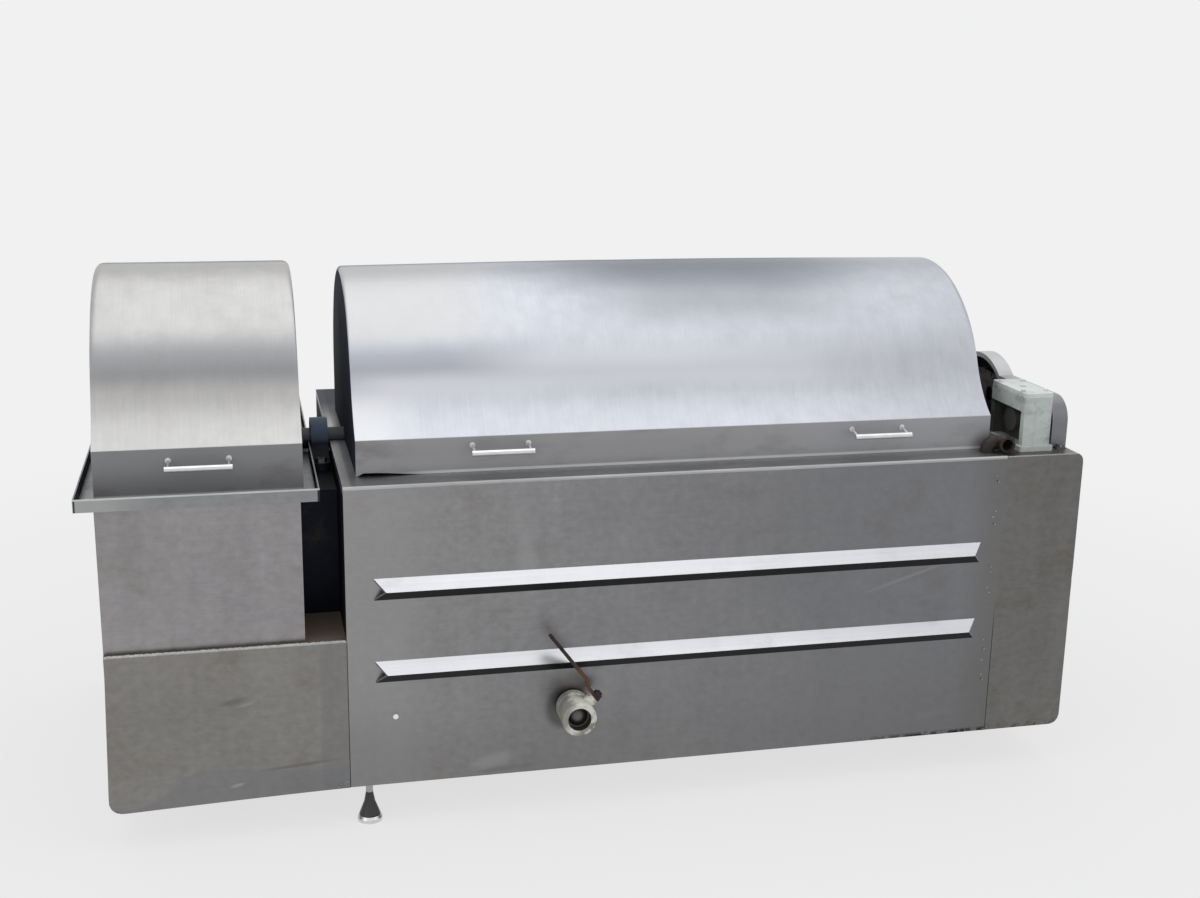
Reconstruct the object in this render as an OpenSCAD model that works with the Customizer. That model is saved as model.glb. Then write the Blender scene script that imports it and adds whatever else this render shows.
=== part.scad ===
// Rotary drum washer: a wash tank and a shorter rinse tank side by side, each under a hinged
// ogee hood, with one shaft that carries both bar drums and is driven by a roller chain.
// X runs along the machine, Y from front to rear, Z up. Z = 0 is the floor.

/* [Overall] */
// Depth of the machine, front panel to rear panel
depth = 1000; // [900:10:1300]
// Height of the front panels, lower edge to rim
panel_h = 700; // [620:10:880]
// Height of the panels' lower edge above the floor
foot_h = 105; // [90:1:140]
// Length of the wash tank
wash_l = 1555; // [1250:5:2000]
// Length of the base box under the rinse tank
base_l = 510; // [500:5:600]
// Height of the base box's panel
base_h = 350; // [290:5:390]
// Length of the drive housing
drive_l = 200; // [190:5:260]
// Length of the rinse tank
rinse_l = 422; // [400:1:440]

/* [Sheet metal] */
// Thickness of the tank, box and rim plate
sheet_t = 3; // [2:0.5:4]
// Thickness of the hood plate
hood_t = 2; // [1.5:0.5:3]
// Radius of the folded corners of the drive housing and base box
fold_r = 14; // [8:1:24]
// Drop of the wash tank's floor from rear to front
floor_drop = 40; // [20:1:60]
// Height of the wash tank's floor over the panels' lower edge, at the front
floor_h = 122; // [110:1:140]
// Width of the rim flange in front of the opening
rim_front = 100; // [90:1:110]
// Width of the rim flange at the two ends of the tank opening
rim_end = 24; // [20:1:30]

/* [Rinse tray] */
// How far the tray stands out past the rinse tank at each end
tray_over = 40; // [30:1:42]
// How far the rinse tank's front is set back from the tray's front
rinse_setback = 12; // [5:1:20]
// Height of the tray's folded lips
tray_lip = 28; // [20:1:36]

/* [Hoods] */
// Distance of the hoods' front lip from the front panel
lip_y = 80; // [72:1:88]
// Rise of the hoods over the rim
hood_rise = 408; // [360:1:470]
// Distance of the crown from the front panel
crown_y = 480; // [460:1:500]
// Distance of the hoods' back wall from the front panel
back_y = 760; // [750:1:800]
// Radius of the crown towards the front
crown_r = 335; // [320:1:345]
// How much taller the rinse hood's crown is
rinse_up = 15; // [0:1:20]
// Angle of the steepest place on the front, where crown and flare meet
steep_a = 68; // [64:1:72]
// Radius of the flare over the lip
flare_r = 280; // [240:1:320]
// Gap between the wash hood and the left end of its tank
hood_gap_l = 35; // [30:1:40]
// Gap between the wash hood and the right end of its tank
hood_gap_r = 10; // [6:1:14]
// How far the rinse hood stands past its tank on the left
rinse_hood_l = 4; // [2:1:8]
// How far the rinse hood stands past its tank on the right
rinse_hood_r = 10; // [4:1:14]

/* [Handles] */
// Length of a handle's bar
handle_l = 140; // [110:1:180]
// Diameter of a handle's bar
handle_d = 12; // [8:1:16]
// Reach of a handle from the lip to the bar's centre
handle_reach = 42; // [36:1:60]
// Drop of the bar below its posts
handle_drop = 9; // [0:1:14]
// Distance from each end of the wash hood to a handle's middle
handle_inset = 320; // [250:1:400]
// Distance of the right pull handle's middle from the wash hood's right end
handle_inset_r = 292; // [250:1:400]

/* [Hinges] */
// Length of a hinge
hinge_l = 90; // [60:1:120]
// Radius of a hinge knuckle
knuckle_r = 8; // [7:0.5:10]
// Radius of a hinge pin
hinge_pin_r = 4; // [3:0.5:5]

/* [Drums] */
// Distance of the drum axis from the front panel
axis_y = 450; // [440:1:460]
// Radius of the shaft
shaft_r = 25; // [20:0.5:27]
// Radius over the drum bars
drum_r = 260; // [240:1:264]
// Number of bars round a drum
bar_count = 32; // [24:4:40]
// Radius of a drum bar
bar_r = 5; // [4:0.5:6]
// Thickness of the hoops round the bars
hoop_t = 6; // [4:1:8]
// Width of the hoops
hoop_w = 30; // [20:1:40]
// Pitch of the helical flight
flight_pitch = 350; // [300:10:420]
// Height of the flight, measured inwards from the bars
flight_h = 62; // [50:1:66]
// Thickness of the flight
flight_t = 4; // [3:1:6]

/* [Chain drive] */
// Teeth on the drum sprocket, a multiple of four
drum_teeth = 44; // [40:4:44]
// Teeth on the pinion
pinion_teeth = 14; // [13:1:14]
// Links in the chain, an even number
chain_links = 72; // [72:2:72]
// Height of the reducer's output shaft over the rim
output_h = 60; // [58:1:62]
// Radius of the reducer's output shaft
output_r = 12.5; // [10:0.5:14]
// Radius of the chain guard round the drum sprocket
guard_r = 160; // [140:1:170]
// Room between the pinion's chain and the guard's top
guard_room = 16; // [12:1:20]
// Radius of the guard's front corner
guard_corner = 58; // [50:1:60]
// Width of the guard
guard_w = 40; // [36:1:44]

/* [Gear reducer and motor] */
// Width of the reducer's case along X
reducer_w = 75; // [70:1:80]
// Depth of the reducer's case along Y
reducer_d = 172; // [150:1:180]
// Height of the reducer over the rim
reducer_h = 140; // [130:1:146]
// Radius of the motor's body
motor_r = 54; // [45:1:56]
// Length of the motor's body
motor_l = 190; // [150:5:240]

/* [Drain valve] */
// Distance of the drain from the wash tank's left end
drain_x = 507; // [400:1:900]
// Height of the drain over the panels' lower edge
drain_h = 158; // [157:1:170]
// Radius of the valve's outlet
outlet_r = 28.3; // [24:0.1:29]
// Radius of the valve's outer ring
ring_r = 45; // [42:1:50]
// Angle of the valve's stem over the horizontal
stem_a = 37; // [0:1:60]
// Length of the valve's lever from its stem
lever_l = 190; // [140:1:240]

/* [Water inlet] */
// Outer radius of the inlet pipe
inlet_r = 16.8; // [14:0.1:18]
// Bore radius of the inlet pipe
inlet_bore_r = 13.6; // [11:0.1:14]

/* [Stiffeners] */
// Height of the lower rib's middle over the panels' lower edge
rib_low = 272; // [250:1:300]
// Height of the upper rib's middle over the panels' lower edge
rib_high = 465; // [420:1:520]
// How far a rib stands out of the panel
rib_out = 25; // [15:1:30]
// Distance of the ribs from each end of the wash tank
rib_inset = 62; // [40:1:100]

/* [Hidden] */
$fn = 64;

// Clearances
seat = 0.3;          // between pieces that rest on each other across a joint
fit = 0.05;          // radial clearance of a running fit
through = 0.5;       // radial clearance of a hole that a fixed piece passes
notch = 8;           // radial room round the shaft in a plate
eps = 1;             // overrun of a cut

// Heights
z_panel = foot_h;
z_rim = foot_h + panel_h;
z_base = z_panel + base_h;
z_tray = z_rim - tray_lip + sheet_t;
z_floor = z_panel + floor_h;
z_drain = z_panel + drain_h;

// Stations along X
x_wash = base_l;
x_drive = x_wash + wash_l;
x_end = x_drive + drive_l;
x_tray0 = -tray_over;
x_tray1 = rinse_l + tray_over;
x_hood0 = x_wash + hood_gap_l;
x_hood1 = x_drive - hood_gap_r;
x_rhood0 = -rinse_hood_l;
x_rhood1 = rinse_l + rinse_hood_r;
x_gap = (x_tray1 + x_wash) / 2;

// Hood outline: crown arcs, the tangent point and the flare
crown_z = hood_rise - crown_r;
steep_y = crown_y - crown_r * sin(steep_a);
steep_z = crown_z + crown_r * cos(steep_a);
flare_y = steep_y - flare_r * sin(steep_a);
flare_z = steep_z + flare_r * cos(steep_a);
lip_z = flare_z - sqrt(pow(flare_r, 2) - pow(lip_y - flare_y, 2));
back_r = back_y - crown_y;
back_z = hood_rise - back_r;

// Hinges
hinge_off = knuckle_r + 0.5;
hinge_y = back_y + hinge_off;
leaf_t = 3;
leaf_w = 36;
buffer_y = hinge_y + 90;
buffer_h = 2 * hinge_off - seat;
buffer_r = 12;
wash_hinge_x = [x_hood0 + 150, (x_hood0 + x_hood1) / 2, x_hood1 - 150];
rinse_hinge_x = [x_rhood0 + 75, x_rhood1 - 75];

// Bearings
bearing_w = 40;
bearing_base_w = 44;
bearing_h = 57;
bearing_base_t = 18;
bearing_base_l = 200;
bearing_r = 46;
insert_r = 40;
bolt_pitch = 160;
bolt_r = 8;
seat_plate_t = 12;
x_bearing2 = x_drive + bearing_base_w / 2 + 16;
bracket_w = bearing_base_w + 30;

// Drums
bar_inner = drum_r - 2 * bar_r;
wash_drum0 = x_hood0 + 32;
wash_drum1 = x_hood1 - 32;
rinse_drum0 = 16;
rinse_drum1 = rinse_l - 20;
spider_t = 12;
hub_r = 42;
hub_l = 40;
arm_w = 36;
chute_x0 = rinse_drum1 - 62;
chute_x1 = wash_drum0 + 72;
chute_w = 160;
chute_h = 56;
chute_low = 160;
chute_rise = 40;
wash_spider_x = [chute_x1 + 50, (chute_x1 + wash_drum1) / 2, wash_drum1 - 40];
rinse_spider_x = [rinse_drum0 + 40, chute_x0 - 50];

// Chain drive: a half-inch-and-an-eighth chain, and the centre distance that takes its links
chain_p = 15.875;
drum_pr = chain_p / 2 / sin(180 / drum_teeth);
pinion_pr = chain_p / 2 / sin(180 / pinion_teeth);
function strand_angle(d) = asin((drum_pr - pinion_pr) / d);
function strand(d) = sqrt(d * d - pow(drum_pr - pinion_pr, 2));
function drum_wrap(d) = (180 + 2 * strand_angle(d)) * drum_teeth / 360;
function pinion_wrap(d) = (180 - 2 * strand_angle(d)) * pinion_teeth / 360;
function links_for(d) = 2 * strand(d) / chain_p + drum_wrap(d) + pinion_wrap(d);
function centre_for(links, low, high, step) =
    step == 0 ? (low + high) / 2
    : links_for((low + high) / 2) < links ? centre_for(links, (low + high) / 2, high, step - 1)
    : centre_for(links, low, (low + high) / 2, step - 1);
centre_d = centre_for(chain_links, drum_pr, 3 * (drum_pr + pinion_pr), 40);
pinion_y = axis_y - sqrt(pow(centre_d, 2) - pow(output_h, 2));
lean = asin(output_h / centre_d);
roller_r = chain_p * 0.312;
roller_w = chain_p * 0.6;
tooth_w = roller_w - 1;
plate_t = 1.8;
plate_h = chain_p * 0.46;
chain_pin_r = chain_p * 0.145;
tooth_gap = 0.4;
tooth_h = 4;

// Guard
x_chain = x_drive + 165;
guard_x0 = x_chain - guard_w / 2;
guard_x1 = x_chain + guard_w / 2;
guard_t = 2;
guard_front = pinion_y - 62;
guard_h = output_h + pinion_pr + plate_h + guard_room;
guard_hem = 12;
slot_margin = 4;

// Reducer and motor
reducer_x0 = x_drive + 55;
reducer_x1 = reducer_x0 + reducer_w;
reducer_y0 = pinion_y - reducer_d / 2;
reducer_base = 12;
reducer_recess = 26;
reducer_head = 46;
cover_t = 10;
motor_x = (reducer_x0 + reducer_x1) / 2;
motor_flange_r = 62;
fin_count = 20;
cowl_l = 44;

// Valve, measured outwards from the front panel
nipple_r = 30.15;
nipple_bore = 26;
body_z0 = 6;
ball_z = 42;
ball_r = 32;
ball_bore = 22;
cavity_r = ball_r + 1;
body_z1 = ball_z + 18;
seat_near = 13;
seat_far = 25;
outlet_z = ball_z + ball_r + 1;
ring_z1 = outlet_z + 13;
stem_r = 7;
neck_r = 14;
neck_top = 46;
gland_top = 53;
lever_t = 7;
lever_w = 20;
lever_top = gland_top + seat + lever_t;
nut_h = 8;

// Water inlet
inlet_bend = 18;
inlet_z = z_rim + 20.5;
inlet_x = x_drive + 11;
inlet_y = 54;
inlet_down_x = inlet_x - 2 * inlet_bend - 2;
spray_r = 13.5;
spray_z = z_rim - 46;
spray_x0 = x_wash + 50;
nozzle_count = 10;

// Feet and frame
tube = 50;
tube_t = 3;
rail_y0 = 20;
foot_r = 28;
stud_r = 8;
front_foot = [x_wash + 46, rail_y0 + tube / 2];
feet = [
    front_foot, [60, depth * 0.3], [x_end - 65, depth * 0.3],
    [60, depth - 45], [front_foot[0], depth - 45], [x_end - 65, depth - 45]
];
cross_x = [60, x_end - 65];

// Screw heads
screw_h = 4;

// Placing: the model's origin is the middle of its footprint, on the floor
y_front = -ring_z1;
y_rear = depth + sheet_t + screw_h;
module place() {
    translate([-(x_tray0 + x_end) / 2, -(y_front + y_rear) / 2, 0]) children();
}

// Outlines drawn as (Y, Z), pushed along X
module along_x(x0, x1) {
    translate([x0, 0, 0]) rotate([90, 0, 90]) linear_extrude(x1 - x0) children();
}
// Outlines drawn as (X, Z), pushed along Y
module along_y(y0, y1) {
    translate([0, y1, 0]) rotate([90, 0, 0]) linear_extrude(y1 - y0) children();
}
module box(low, high) {
    translate(low) cube(high - low);
}
module rod_x(r, x0, x1, y, z) {
    translate([x0, y, z]) rotate([0, 90, 0]) cylinder(h = x1 - x0, r = r);
}
module rod_y(r, y0, y1, x, z) {
    translate([x, y1, z]) rotate([90, 0, 0]) cylinder(h = y1 - y0, r = r);
}
module rod_z(r, z0, z1, x, y) {
    translate([x, y, z0]) cylinder(h = z1 - z0, r = r);
}
module tube_x(r, bore, x0, x1, y, z) {
    difference() {
        rod_x(r, x0, x1, y, z);
        rod_x(bore, x0 - eps, x1 + eps, y, z);
    }
}
// Room for the shaft in an upright plate, open downwards or upwards
module shaft_slot(x0, x1, down, up) {
    r = shaft_r + notch;
    rod_x(r, x0 - eps, x1 + eps, axis_y, z_rim);
    box([x0 - eps, axis_y - r, z_rim - down], [x1 + eps, axis_y + r, z_rim + up]);
}
// A ring of copies round the drum axis
module round_axis(count, start = 0) {
    for (i = [0 : count - 1])
        translate([0, axis_y, z_rim]) rotate([start + i * 360 / count, 0, 0]) children();
}

// Hood volume, moved in by d from the outer face and running down to base
function past(a, b) = b + 2 * (b - a);
module hood_block(x0, x1, d, base, up) {
    a = steep_a + up * 0.143;
    r = crown_r - d;
    mid_z = crown_z + up;
    steep = [crown_y - r * sin(a), mid_z + r * cos(a)];
    crown = [crown_y, hood_rise + up - d];
    rear = [back_y - d, back_z + up];
    flare = [crown_y - (crown_r + flare_r) * sin(a), mid_z + (crown_r + flare_r) * cos(a)];
    fold_z = flare[1] - sqrt(pow(flare_r, 2) - pow(lip_y - flare[0], 2));
    front_in = [crown_y + 60, mid_z - 30];
    rear_in = [crown_y - 60, rear[1] - 60];
    along_x(x0, x1) intersection() {
        translate([crown_y, mid_z]) circle(r, $fn = 180);
        polygon([front_in, past(front_in, steep), [lip_y - r, hood_rise + r], past(front_in, crown)]);
    }
    along_x(x0, x1) intersection() {
        translate([crown_y, rear[1]]) circle(rear[0] - crown_y, $fn = 180);
        polygon([rear_in, past(rear_in, crown), [back_y + r, hood_rise + r], past(rear_in, rear)]);
    }
    along_x(x0, x1) difference() {
        polygon([
            [lip_y + d, base], [lip_y + d, fold_z], steep, [crown_y, mid_z + 90],
            [crown_y + 90, rear[1] + 60], rear, [rear[0], base]
        ]);
        translate(flare) circle(flare_r + d, $fn = 180);
    }
}
module hood_skin(x0, x1, base, up) {
    translate([0, 0, z_rim]) difference() {
        hood_block(x0, x1, 0, base, up);
        hood_block(x0 - eps, x1 + eps, hood_t, base - eps, up);
    }
}
module hood_ends(x0, x1, base, up) {
    for (x = [x0, x1 - hood_t])
        difference() {
            translate([0, 0, z_rim]) hood_block(x, x + hood_t, hood_t, base, up);
            shaft_slot(x, x + hood_t, 2 * tray_lip, 0);
        }
}
// Pull handle: a bar on two sloping posts, each on a small rosette, at a share of the lip's height
module pull_handle(x, share) {
    post_z = z_rim + lip_z * share;
    span = handle_l - 2 * handle_d;
    slant = atan(handle_drop / handle_reach);
    for (s = [-1, 1]) translate([x + s * span / 2, lip_y, post_z]) {
        rotate([90, 0, 0]) cylinder(h = 3, r = handle_d * 0.85);
        rotate([90 + slant, 0, 0]) translate([0, 0, 2])
            cylinder(h = norm([handle_reach, handle_drop]) - 2, r = handle_d * 0.36);
    }
    translate([x - handle_l / 2, lip_y - handle_reach, post_z - handle_drop])
        rotate([0, 90, 0]) cylinder(h = handle_l, r = handle_d / 2);
}
// Hinge half on the hood: the middle knuckle and its upright leaf
module moving_leaf(x, z) {
    part_l = hinge_l / 3 - 2 * seat;
    difference() {
        union() {
            rod_x(knuckle_r, x - part_l / 2, x + part_l / 2, hinge_y, z + hinge_off);
            box([x - part_l / 2, back_y, z + hinge_off], [x + part_l / 2, back_y + leaf_t, z + 20]);
            box([x - hinge_l / 2, back_y, z + 20], [x + hinge_l / 2, back_y + leaf_t, z + 20 + leaf_w]);
        }
        rod_x(hinge_pin_r + fit, x - hinge_l, x + hinge_l, hinge_y, z + hinge_off);
    }
}
// Hinge half on the deck: two outer knuckles, the flat leaf and the pin
module fixed_leaf(x, z) {
    part_l = hinge_l / 3;
    for (s = [-1, 1]) {
        xm = x + s * part_l;
        rod_x(knuckle_r, xm - part_l / 2, xm + part_l / 2, hinge_y, z + hinge_off);
        box([xm - part_l / 2, hinge_y, z], [xm + part_l / 2, hinge_y + 12, z + leaf_t]);
    }
    box([x - hinge_l / 2, hinge_y + 11, z], [x + hinge_l / 2, hinge_y + 11 + leaf_w, z + leaf_t]);
    rod_x(hinge_pin_r, x - part_l, x + part_l, hinge_y, z + hinge_off);
}
module buffer(x, z) {
    rod_z(buffer_r, z, z + buffer_h, x, buffer_y);
}

// ---- Tanks and boxes -------------------------------------------------------------------
function floor_at(y) = z_floor + floor_drop * y / depth;

module chute_outline(grow) {
    polygon([
        [chute_x0 - 100, z_rim - chute_low - grow - chute_rise * 100 / (chute_x1 - chute_x0)],
        [chute_x1 + 100, z_rim - chute_low - grow + chute_rise * (1 + 100 / (chute_x1 - chute_x0))],
        [chute_x1 + 100, z_rim - chute_low + chute_h + grow + chute_rise * (1 + 100 / (chute_x1 - chute_x0))],
        [chute_x0 - 100, z_rim - chute_low + chute_h + grow - chute_rise * 100 / (chute_x1 - chute_x0)]
    ]);
}
module chute_room() {
    along_y(axis_y - chute_w / 2 - seat, axis_y + chute_w / 2 + seat) chute_outline(seat);
}

module wash_tank() {
    top = z_rim - sheet_t;
    color([0.60, 0.61, 0.62]) place() difference() {
        union() {
            for (y = [0, depth - sheet_t])
                box([x_wash, y, z_panel], [x_drive, y + sheet_t, top]);
            for (x = [x_wash, x_drive - sheet_t])
                along_x(x, x + sheet_t) polygon([
                    [0, floor_at(0)], [depth, floor_at(depth)], [depth, top], [0, top]
                ]);
            along_x(x_wash, x_drive) polygon([
                [0, floor_at(0)], [depth, floor_at(depth)],
                [depth, floor_at(depth) + sheet_t], [0, floor_at(0) + sheet_t]
            ]);
        }
        for (x = [x_wash, x_drive - sheet_t]) shaft_slot(x, x + sheet_t, 0, eps);
        intersection() {
            chute_room();
            box([x_wash - eps, 0, z_panel], [x_wash + sheet_t + eps, depth, z_rim]);
        }
        rod_y(nipple_r, -eps, sheet_t + eps, x_wash + drain_x, z_drain);
    }
    color([0.60, 0.61, 0.62]) place() rod_y(6, -8, 0, x_wash + 104, z_drain + 8);
}
module tank_rim() {
    color([0.70, 0.71, 0.72]) place() difference() {
        box([x_wash, 0, z_rim - sheet_t], [x_drive, depth, z_rim]);
        box([x_hood0 + rim_end, rim_front, z_rim - 9], [x_hood1 - rim_end, back_y - 20, z_rim + eps]);
        for (x = [x_wash, x_hood1 - rim_end - eps])
            shaft_slot(x - eps, x + hood_gap_l + rim_end + eps, 9, 0);
        rod_z(inlet_r + 3 * through, z_rim - 9, z_rim + eps, inlet_down_x, inlet_y);
    }
}
// Steel angle welded on by its two toes, with mitred ends
module rib(z) {
    x0 = x_wash + rib_inset;
    x1 = x_drive - rib_inset + 10;
    wall = 4.5;
    intersection() {
        along_x(x0, x1) difference() {
            polygon([[0, z + rib_out], [-rib_out, z], [0, z - rib_out]]);
            polygon([[eps, z + rib_out - wall + eps], [-rib_out + wall, z], [eps, z - rib_out + wall - eps]]);
        }
        translate([0, 0, z - 2 * rib_out]) linear_extrude(4 * rib_out)
            polygon([[x0, 0], [x0 + rib_out, -rib_out], [x1 - rib_out, -rib_out], [x1, 0]]);
    }
}
module stiffener_ribs() {
    color([0.80, 0.81, 0.82]) place() for (h = [rib_low, rib_high]) rib(z_panel + h);
}
// A panel outline in X and Z with one rounded corner
module rounded_panel(x0, x1, z0, z1, cx, cz, r) {
    difference() {
        translate([x0, z0]) square([x1 - x0, z1 - z0]);
        difference() {
            translate([cx - r, cz - r]) square(2 * r);
            translate([cx + (cx > x0 ? -r : r), cz + (cz > z0 ? -r : r)]) circle(r);
            translate([cx > x0 ? cx - 3 * r : cx + r, cz - 2 * r]) square([2 * r, 4 * r]);
            translate([cx - 2 * r, cz > z0 ? cz - 3 * r : cz + r]) square([4 * r, 2 * r]);
        }
    }
}
module base_box() {
    color([0.58, 0.59, 0.60]) place() difference() {
        along_y(0, depth) rounded_panel(0, x_wash, z_panel, z_base, 0, z_panel, fold_r);
        along_y(sheet_t, depth - sheet_t)
            rounded_panel(sheet_t, x_wash + fold_r, z_panel - fold_r, z_base - sheet_t,
                sheet_t, z_panel - fold_r, fold_r);
    }
}
module rinse_tank() {
    y0 = rinse_setback;
    y1 = depth - rinse_setback;
    top = z_tray - sheet_t;
    color([0.60, 0.60, 0.59]) place() difference() {
        box([0, y0, z_base], [rinse_l, y1, top]);
        box([sheet_t, y0 + sheet_t, z_base + sheet_t], [rinse_l - sheet_t, y1 - sheet_t, top + eps]);
        rod_x(shaft_r + notch, rinse_l - sheet_t - eps, rinse_l + eps, axis_y, z_rim);
        intersection() {
            chute_room();
            box([rinse_l - sheet_t - eps, 0, z_base], [rinse_l + eps, depth, z_rim]);
        }
    }
}
module rinse_tray() {
    y1 = depth;
    color([0.66, 0.66, 0.65]) place() difference() {
        box([x_tray0, 0, z_rim - tray_lip], [x_tray1, y1, z_rim]);
        box([x_tray0 + sheet_t, sheet_t, z_tray], [x_tray1 - sheet_t, y1 - sheet_t, z_rim + eps]);
        box([14, rim_front, z_tray - 9], [rinse_l - 14, back_y - 20, z_rim + eps]);
        shaft_slot(rinse_l - 20, x_tray1, tray_lip + eps, 9);
    }
}
// Folded bridge between the two tanks: it carries the middle bearing over the chute
module bearing_bridge() {
    y0 = axis_y - 259;
    y1 = axis_y + 259;
    top = z_rim - bearing_h;
    color([0.35, 0.36, 0.37]) place() difference() {
        box([rinse_l, y0, z_base], [x_wash, y1, top]);
        box([rinse_l - eps, y0 + sheet_t, z_base - eps], [x_wash + eps, y1 - sheet_t, top - seat_plate_t]);
        for (s = [-1, 1])
            rod_z(bolt_r + through, top - seat_plate_t - eps, top + eps, x_gap, axis_y + s * bolt_pitch / 2);
    }
}
module transfer_chute() {
    slope = chute_rise / (chute_x1 - chute_x0);
    low = z_rim - chute_low;
    color([0.72, 0.73, 0.74]) place() difference() {
        along_y(axis_y - chute_w / 2, axis_y + chute_w / 2) polygon([
            [chute_x0, low], [chute_x1, low + chute_rise],
            [chute_x1, low + chute_rise + chute_h], [chute_x0, low + chute_h]
        ]);
        along_y(axis_y - chute_w / 2 + sheet_t, axis_y + chute_w / 2 - sheet_t) polygon([
            [chute_x0 - eps, low + sheet_t - eps * slope],
            [chute_x1 + eps, low + chute_rise + sheet_t + eps * slope],
            [chute_x1 + eps, low + chute_rise + chute_h + 9], [chute_x0 - eps, low + chute_h + 9]
        ]);
    }
}
module drive_housing() {
    slot_x0 = guard_x0 + slot_margin;
    slot_x1 = guard_x1 - slot_margin;
    bracket_y = bearing_base_l / 2 + 12;
    color([0.56, 0.55, 0.53]) place() difference() {
        along_y(0, depth) rounded_panel(x_drive, x_end, z_panel, z_rim, x_end, z_rim, fold_r);
        along_y(sheet_t, depth - sheet_t)
            rounded_panel(x_drive - eps, x_end - sheet_t, z_panel - eps, z_rim - sheet_t,
                x_end - sheet_t, z_rim - sheet_t, fold_r - sheet_t);
        box([slot_x0, guard_front + guard_t + slot_margin, z_rim - 9],
            [slot_x1, axis_y + guard_r - guard_t - slot_margin, z_rim + eps]);
        box([x_drive - eps, axis_y - bracket_y, z_rim - 9],
            [x_bearing2 + bearing_base_w / 2 + 6, axis_y + bracket_y, z_rim + eps]);
        box([x_drive - eps, axis_y - shaft_r - notch, z_rim - 9],
            [slot_x1, axis_y + shaft_r + notch, z_rim + eps]);
        rod_z(output_r + 12, z_rim - 9, z_rim + eps, motor_x, pinion_y);
        box([x_drive + 22, depth - 9, z_panel + 180], [x_end - 22, depth + eps, z_rim - 80]);
    }
}
// Rear access panel with ventilation slots
module housing_panel() {
    x0 = x_drive + 10;
    x1 = x_end - 10;
    z0 = z_panel + 168;
    z1 = z_rim - 68;
    color([0.60, 0.60, 0.59]) place() difference() {
        box([x0, depth, z0], [x1, depth + sheet_t, z1]);
        for (i = [0 : 7])
            box([x0 + 40, depth - eps, z0 + 60 + i * 22], [x1 - 40, depth + 9, z0 + 68 + i * 22]);
    }
}
// Hexagon screws of the rear panel and of the chain guard
module cover_screws() {
    panel_x = [x_drive + 16, x_end - 16];
    panel_z = [z_panel + 176, z_rim - 76];
    color([0.72, 0.72, 0.73]) place() {
        for (x = panel_x) for (z = panel_z)
            translate([x, y_rear, z]) rotate([90, 0, 0]) cylinder(h = screw_h, r = 6, $fn = 6);
        for (y = [guard_front - 8, axis_y + guard_r + 8])
            translate([x_chain, y, z_rim + 3]) cylinder(h = screw_h, r = 6, $fn = 6);
    }
}
// ---- Frame and feet --------------------------------------------------------------------
module square_tube_x(x0, x1, y, z) {
    difference() {
        box([x0, y, z], [x1, y + tube, z + tube]);
        box([x0 - eps, y + tube_t, z + tube_t], [x1 + eps, y + tube - tube_t, z + tube - tube_t]);
    }
}
// Square tubes, with upright plates on the rails that follow the slope of the tank's floor
module support_frame() {
    rail2 = depth - rail_y0 - tube;
    color([0.50, 0.51, 0.52]) place() difference() {
        union() {
            for (i = [0 : 3]) {
                x = x_wash + 70 + i * (wash_l - 110) / 3;
                along_x(x - 3, x + 3) polygon([
                    [sheet_t, z_panel + tube], [depth - sheet_t, z_panel + tube],
                    [depth - sheet_t, floor_at(depth - sheet_t)], [sheet_t, floor_at(sheet_t)]
                ]);
            }
            for (y = [rail_y0, rail2]) square_tube_x(sheet_t, x_end - sheet_t, y, z_panel);
            for (x = cross_x) difference() {
                box([x - tube / 2, rail_y0 + tube, z_panel], [x + tube / 2, rail2, z_panel + tube]);
                box([x - tube / 2 + tube_t, rail_y0, z_panel + tube_t],
                    [x + tube / 2 - tube_t, depth - rail_y0, z_panel + tube - tube_t]);
            }
        }
        for (f = feet) rod_z(stud_r + through, z_panel - eps, z_panel + tube_t + eps, f[0], f[1]);
    }
}
module foot_studs() {
    color([0.75, 0.75, 0.76]) place() for (f = feet) rod_z(stud_r, 22, z_panel + 30, f[0], f[1]);
}
module hex_nut(r, h, bore) {
    difference() {
        cylinder(h = h, r = r, $fn = 6);
        translate([0, 0, -eps]) cylinder(h = h + 2 * eps, r = bore);
    }
}
module foot_nuts() {
    nut_t = 12;
    color([0.70, 0.70, 0.71]) place() for (f = feet) {
        translate([f[0], f[1], z_panel - nut_t]) hex_nut(13.5, nut_t, stud_r);
        translate([f[0], f[1], z_panel + tube_t]) hex_nut(13.5, nut_t, stud_r);
    }
}
// Rubber bells over the studs, above the pads
module foot_bells() {
    color([0.08, 0.08, 0.08]) place() for (f = feet) translate([f[0], f[1], 0])
        rotate_extrude() polygon([
            [stud_r, 14], [foot_r - 6, 14], [foot_r - 8, 24], [foot_r - 14, 36],
            [stud_r + 4, 56], [stud_r, 56]
        ]);
}
module foot_pads() {
    color([0.82, 0.82, 0.83]) place() for (f = feet) translate([f[0], f[1], 0])
        rotate_extrude() polygon([
            [0, 0], [foot_r, 0], [foot_r, 8], [foot_r - 4, 14], [stud_r, 14], [stud_r, 22], [0, 22]
        ]);
}
// ---- Drain valve -----------------------------------------------------------------------
// Valve axes: X along the machine, Y up, Z outwards from the panel
module on_drain() {
    translate([x_wash + drain_x, 0, z_drain]) rotate([90, 0, 0]) children();
}
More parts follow.
